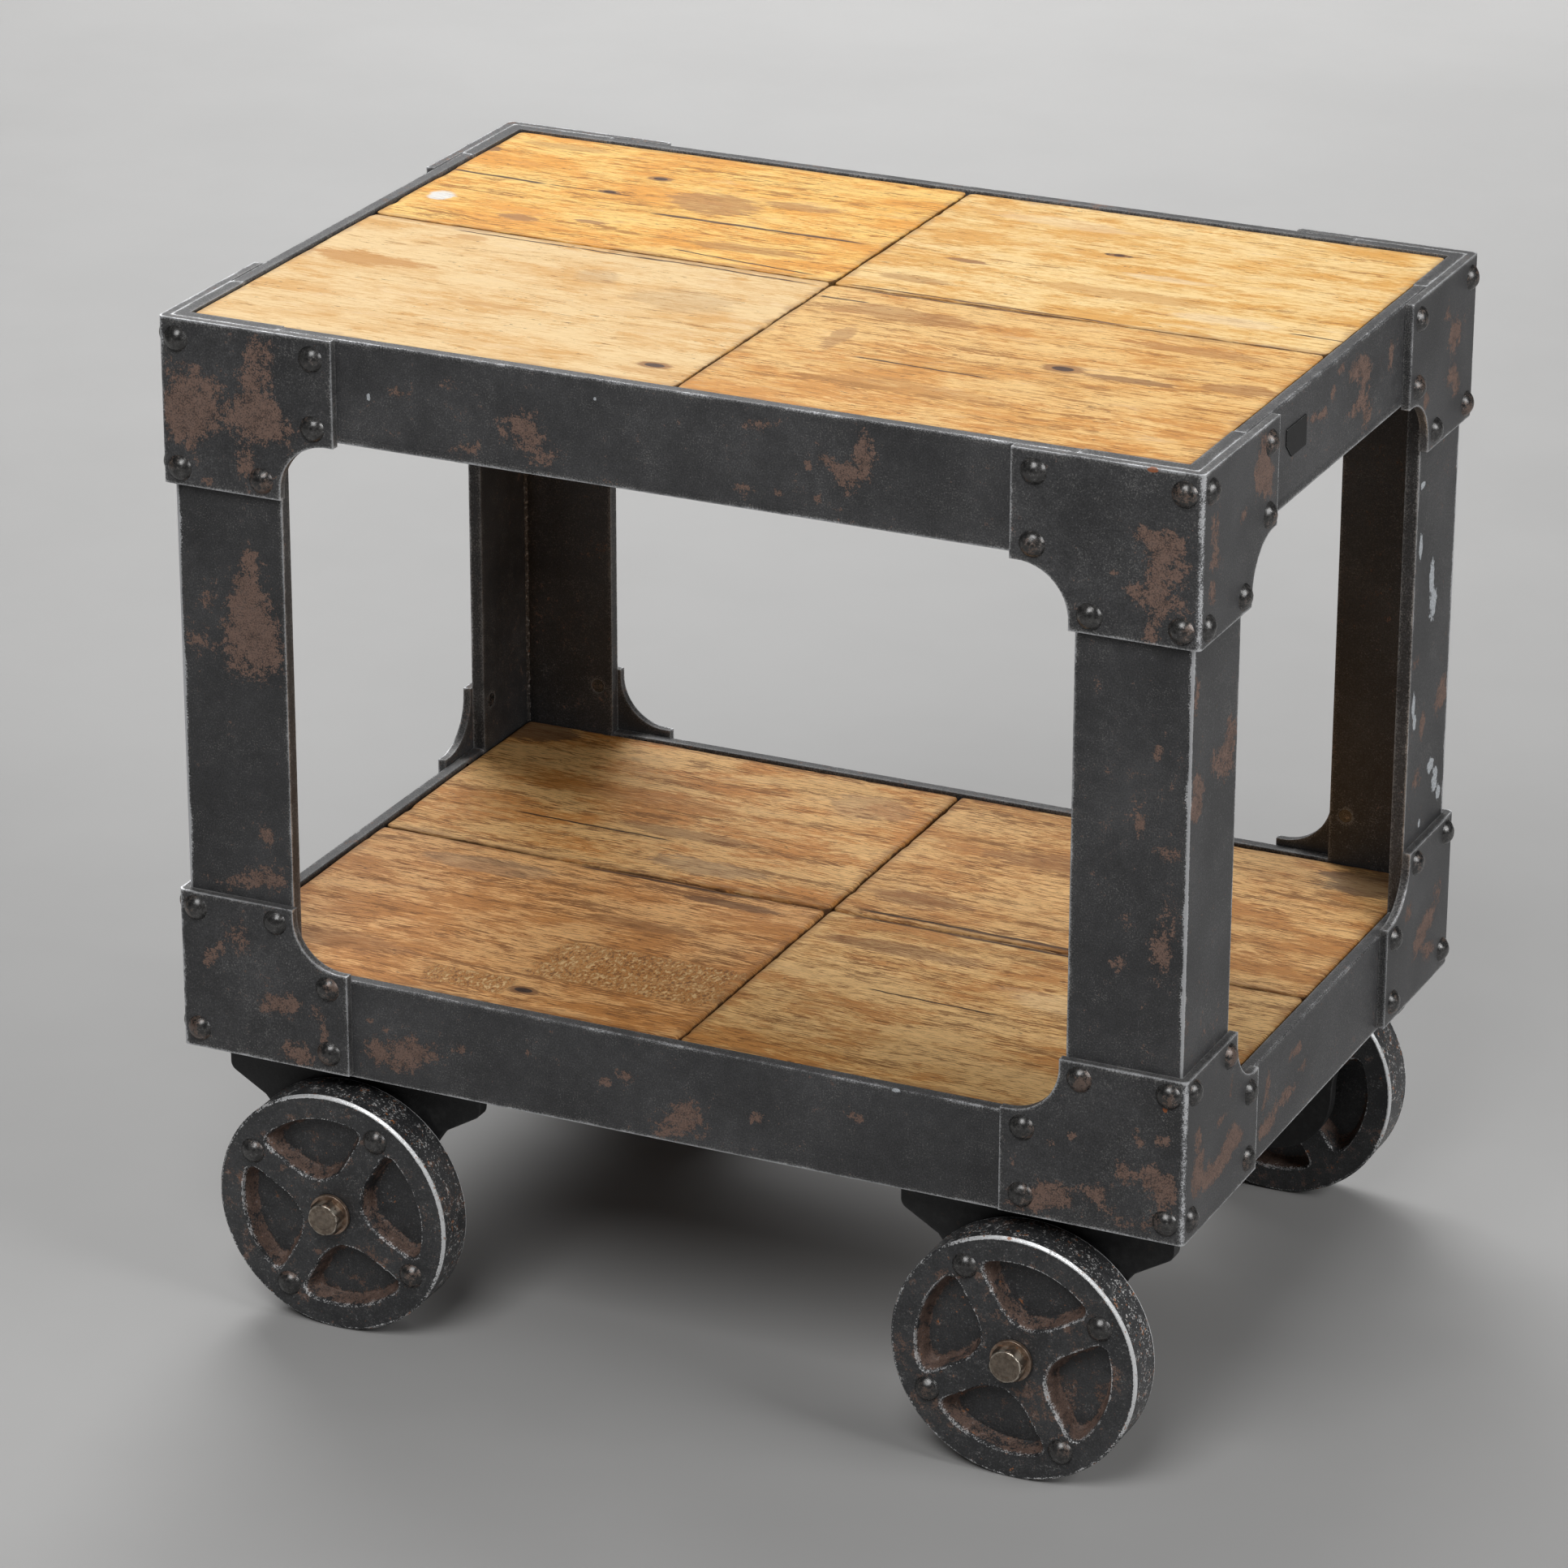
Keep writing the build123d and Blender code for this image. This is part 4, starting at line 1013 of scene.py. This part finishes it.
weldLook = {
    "radius": 2.0 * mm,
    "step": 1.8 * mm,
    "roughness": 0.8 * mm,
    "sunk": 0.2 * mm,  # into the leg's inner faces
    "tones": [(0.40, (0.035, 0.033, 0.032)), (0.54, (0.10, 0.095, 0.09)), (0.66, (0.40, 0.40, 0.40))],
    "rust": (0.33, 0.12, 0.04),
    "relief": 0.5 * mm,
}


def weldFinish():
    f = Finish("weld bead")
    mottle = f.cloud(500, 5, 0.7)
    colour = f.ramp(mottle, weldLook["tones"])
    dots = f.step(f.cloud(120, 2, 0.5), 0.72, 0.78)
    colour = f.mix(dots, colour, weldLook["rust"])
    rough = 0.62 + (mottle - 0.5) * 0.3
    return f.done(Base_Color=colour, Roughness=rough, Metallic=0.2, Normal=f.bump(mottle, weldLook["relief"]))


beadFinish = weldFinish()


def weldBead(corner, seed):
    leg = frame["nodes"][f"leg_{corner}"].data
    low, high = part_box(f"leg_{corner}")
    signX = 1 if low.x > 0 else -1
    signY = 1 if low.y > 0 else -1
    outX = high.x if signX > 0 else low.x
    outY = high.y if signY > 0 else low.y
    onFlange = [v.co.x for v in leg.vertices if abs(v.co.y - outY) > 30 * mm]
    thick = min(abs(x - outX) for x in onFlange if 1 * mm < abs(x - outX) < 30 * mm)
    sunk = weldLook["sunk"]
    inX, inY = outX - signX * thick, outY - signY * thick
    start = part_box(f"lower_plank_{corner}")[1].z - 0.5 * mm
    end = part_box(f"upper_plank_{corner}")[0].z - 0.3 * mm
    count = round((end - start) / weldLook["step"])
    bm = bmesh.new()
    rows = []
    for k in range(count + 1):
        z = start + (end - start) * k / count
        row = []
        for spoke in range(7):
            turn = math.pi / 2 * spoke / 6
            lump = noise.noise(Vector((k * 0.9, spoke * 0.6, seed * 9.0)))
            swell = weldLook["radius"] * (0.95 + 0.12 * math.sin(k * 1.3)) + lump * weldLook["roughness"]
            reach = swell * (1.0 - 0.28 * math.sin(2 * turn))
            x = inX - signX * (reach * math.cos(turn) - sunk)
            y = inY - signY * (reach * math.sin(turn) - sunk)
            row.append(bm.verts.new((x, y, z)))
        row.append(bm.verts.new((inX + signX * sunk, inY + signY * sunk, z)))
        rows.append(row)
    size = len(rows[0])
    for near, far in zip(rows, rows[1:]):
        for k in range(size):
            after = (k + 1) % size
            bm.faces.new((near[k], near[after], far[after], far[k]))
    bm.faces.new(rows[0])
    bm.faces.new(rows[-1])
    bmesh.ops.recalc_face_normals(bm, faces=bm.faces)
    newPiece(f"weld_bead_{corner}", bm, beadFinish, "cart_frame", [], smooth=60)


for number, corner in enumerate(corners):
    weldBead(corner, number)
print("welds done")


bracketLook = {
    "dark": (0.012, 0.012, 0.0125),
    "light": (0.028, 0.028, 0.028),
    "brown": (0.045, 0.030, 0.022),
    "worn": (0.30, 0.30, 0.30),
    "edgeReach": 1.8 * mm,
}
fittingLook = {
    "wornBrushed": (0.62, 0.58, 0.52),
    "wornDark": (0.50, 0.50, 0.50),
    "chamfer": (0.13, 0.105, 0.085),  # painted shade on the chamfer round the bolts' heads
    # painted highlight along the edge of the chamfer
    "chamferHighlight": (0.75, 0.68, 0.58),
    "recess": (0.20, 0.17, 0.14),
}


def bracketFinish():
    f = Finish("bracket steel")
    mottle = f.cloud(150, 6, 0.68)
    fine = f.cloud(900, 3, 0.6)
    edge = f.edge(bracketLook["edgeReach"])
    colour = f.mix(f.step(mottle, 0.42, 0.7), bracketLook["dark"], bracketLook["light"])
    brown = f.step(f.cloud(80, 8, 0.72), 0.62, 0.68)
    colour = f.mix(brown * 0.6, colour, bracketLook["brown"])
    wear = f.step(edge + (mottle - 0.5) * 0.6 + (fine - 0.5) * 0.4, 0.44, 0.62)
    colour = f.mix(wear * 0.6, colour, bracketLook["worn"])
    rough = 0.55 + (mottle - 0.5) * 0.25
    bump = f.bump(fine * 0.4 + mottle * 0.5, 0.25 * mm)
    return f.done(Base_Color=colour, Roughness=rough, Metallic=wear * 0.6, Normal=bump)


def brushedFinish(name, base, light, rustTone, rustLevel, roughness):
    f = Finish(name)
    mottle = f.cloud(350, 5, 0.65)
    fine = f.cloud(1500, 3, 0.6)
    colour = f.mix(f.step(mottle, 0.35, 0.68), base, light)
    spots = f.step(f.cloud(420, 4, 0.65, shift=3) + (mottle - 0.5) * 0.3, rustLevel, rustLevel + 0.06)
    colour = f.mix(spots * 0.85, colour, rustTone)
    edge = f.edge(0.9 * mm)
    wear = f.step(edge + (fine - 0.5) * 0.5, 0.34, 0.5)
    colour = f.mix(wear * 0.5, colour, fittingLook["wornBrushed"])
    rough = roughness + (mottle - 0.5) * 0.3 + spots * 0.2
    bump = f.bump(mottle * 0.5 + fine * 0.5, 0.12 * mm)
    return f.done(Base_Color=colour, Roughness=rough, Metallic=0.85 - spots * 0.6, Normal=bump)


def plainDark(name, base, light, roughness, edgeReach):
    f = Finish(name)
    mottle = f.cloud(220, 5, 0.6)
    fine = f.cloud(1200, 2, 0.6)
    colour = f.mix(f.step(mottle, 0.4, 0.66), base, light)
    edge = f.edge(edgeReach)
    wear = f.step(edge + (fine - 0.5) * 0.6, 0.24, 0.42)
    colour = f.mix(wear * 0.7, colour, fittingLook["wornDark"])
    rough = roughness + (mottle - 0.5) * 0.2
    return f.done(Base_Color=colour, Roughness=rough, Normal=f.bump(fine, 0.1 * mm))


# the bolts' hex heads, with the round chamfer of a turned head, whose shade and the highlight along its edge
# are painted into the colour
def boltFinish(name, base, light, rustTone):
    low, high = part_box("wheel_front_right")
    axle = (low + high) / 2
    flats = boxOf(solidsOf("axle_bolts")[0])
    headRadius = min(flats[1].x - flats[0].x, flats[1].z - flats[0].z) / 2
    f = Finish(name)
    x, z = (f.axis(f.place, letter) for letter in "XZ")
    away = f.vector("LENGTH", f.join(abs(x) - axle.x, 0.0, z - axle.z), out="Value")
    mottle = f.cloud(350, 5, 0.65)
    fine = f.cloud(1400, 3, 0.6)
    # painted shade on the chamfer ring, and a painted highlight on the circle where the chamfer meets the
    # face
    outer = f.step(away, headRadius * 0.86, headRadius * 0.95)
    line = f.step(abs(away - headRadius * 0.88), 0.6 * mm, 0.1 * mm)
    recess = f.step(away, headRadius * 0.60, headRadius * 0.50)
    colour = f.mix(f.step(mottle, 0.38, 0.62), base, light)
    colour = f.mix(outer * 0.55, colour, fittingLook["chamfer"])
    colour = f.mix(recess * 0.30, colour, fittingLook["recess"])
    colour = f.mix(line * f.step(mottle, 0.35, 0.5) * 0.8, colour, fittingLook["chamferHighlight"])
    rust = f.step(f.cloud(300, 5, 0.7, shift=3) + outer * 0.06, 0.62, 0.68)
    colour = f.mix(rust * 0.7, colour, rustTone)
    turned = f.step(away, headRadius * 0.84, headRadius * 1.12)
    height = mottle * 0.12 + fine * 0.08 - turned * 1.2 - recess * 0.25
    rough = 0.34 + (mottle - 0.5) * 0.3 + rust * 0.2
    bump = f.bump(height, 1.0 * mm)
    return f.done(Base_Color=colour, Roughness=rough, Metallic=0.85 - rust * 0.5, Normal=bump)


fittings = {
    "bolt": ("bolt steel", (0.17, 0.135, 0.105), (0.29, 0.240, 0.190), (0.20, 0.09, 0.040)),
    "axle": ("axle steel", (0.26, 0.175, 0.125), (0.42, 0.32, 0.25), (0.42, 0.15, 0.045), 0.62, 0.36),
    "zinc": ("zinc screws", (0.30, 0.29, 0.28), (0.45, 0.44, 0.42), (0.25, 0.13, 0.06), 0.66, 0.5),
    "bronze": ("bush bronze", (0.36, 0.22, 0.09), (0.55, 0.36, 0.16), (0.12, 0.07, 0.03), 0.62, 0.4),
    "tag": ("tag black", (0.008, 0.008, 0.008), (0.016, 0.016, 0.016), 0.6, 0.3 * mm),
    "bar": ("bar steel", (0.024, 0.024, 0.025), (0.045, 0.044, 0.043), 0.55, 1.0 * mm),
}
bracketSteel = bracketFinish()
boltSteel = boltFinish(*fittings["bolt"])
axleSteel = brushedFinish(*fittings["axle"])
for corner in corners:
    easedPiece(f"wheel_bracket_{corner}", bracketSteel)
for node, finish in (("axle_bolts", boltSteel), ("axle_washers", axleSteel), ("axle_nuts", axleSteel)):
    easedPiece(node, finish, ease=0.35 * mm)
easedPiece("rail_tag", plainDark(*fittings["tag"]), ease=0.15 * mm)

# hidden pieces keep their CAD shape
carried = {
    "bar_steel": plainDark(*fittings["bar"]),
    "zinc_screws": brushedFinish(*fittings["zinc"]),
    "bush_bronze": brushedFinish(*fittings["bronze"]),
}
slotOf = {row["node"]: row["material_slot"] for row in frame["record"]["subparts"]}
for node, thing in frame["nodes"].items():
    if slotOf[node] in carried:
        thing.data.materials.clear()
        thing.data.materials.append(carried[slotOf[node]])
print("fixings done")


studio = {
    "floor": (0.392, 0.389, 0.385),
    "floorHalf": 14,
    "sky": (0.96, 0.98, 1.0),
    "skyStrength": 0.065,
    "lamps": [  # place, size, watts, spread in degrees, aim
        ((0.2, -2.5, 3.0), 1.8, 70.0, 180, (0, 0, 0.3)),
        ((2.6, -0.3, 1.7), 1.4, 42.0, 180, (0, 0, 0.3)),
        ((-1.3, 1.4, 2.6), 1.6, 58.0, 180, (0, 0, 0.3)),
        ((-2.3, 4.7, 3.1), 3.4, 136.0, 110, (-1.5, 4.6, 0)),
    ],
}
ground = bmesh.new()
bmesh.ops.create_grid(ground, x_segments=1, y_segments=1, size=studio["floorHalf"])
floorMesh = bpy.data.meshes.new("floor")
ground.to_mesh(floorMesh)
ground.free()
floor = bpy.data.objects.new("floor", floorMesh)
bpy.context.scene.collection.objects.link(floor)
f = Finish("studio floor")
darker, lighter = (tuple(c * share for c in studio["floor"]) for share in (0.97, 1.02))
tone = f.mix(f.step(f.cloud(3, 4, 0.6), 0.3, 0.7), darker, lighter)
floorMesh.materials.append(f.done(Base_Color=tone, Roughness=0.65, Specular_IOR_Level=0.3))

world = bpy.data.worlds.new("studio")
world.use_nodes = True
sky = world.node_tree.nodes["Background"].inputs
sky[0].default_value = (*studio["sky"], 1)
sky[1].default_value = studio["skyStrength"]
bpy.context.scene.world = world
for place, size, watts, spread, aim in studio["lamps"]:
    lamp = bpy.data.lights.new("softbox", "AREA")
    lamp.shape = "SQUARE"
    lamp.size = size
    lamp.energy = watts
    lamp.spread = math.radians(spread)
    stand = bpy.data.objects.new("softbox", lamp)
    stand.location = place
    stand.rotation_euler = (Vector(aim) - Vector(place)).to_track_quat("-Z", "Y").to_euler()
    bpy.context.scene.collection.objects.link(stand)

view = {
    "place": (1.3665, -2.9862, 1.6281),
    "turn": 24.9997,  # degrees
    "down": 22.1879,
    "roll": 0.1407,
    "sensor": 36,  # millimetres
    "focal": 145.46,
}
lens = bpy.data.cameras.new("camera")
lens.sensor_width = view["sensor"]
lens.lens = view["focal"]
camera = bpy.data.objects.new("camera", lens)
turn = Matrix.Rotation(math.radians(view["turn"]), 4, "Z")
tilt = Matrix.Rotation(math.radians(90 - view["down"]), 4, "X")
roll = Matrix.Rotation(math.radians(view["roll"]), 4, "Z")
camera.matrix_world = Matrix.Translation(view["place"]) @ turn @ tilt @ roll
bpy.context.scene.collection.objects.link(camera)
bpy.context.scene.camera = camera
bpy.context.scene.view_settings.view_transform = "Standard"

print("stage set")
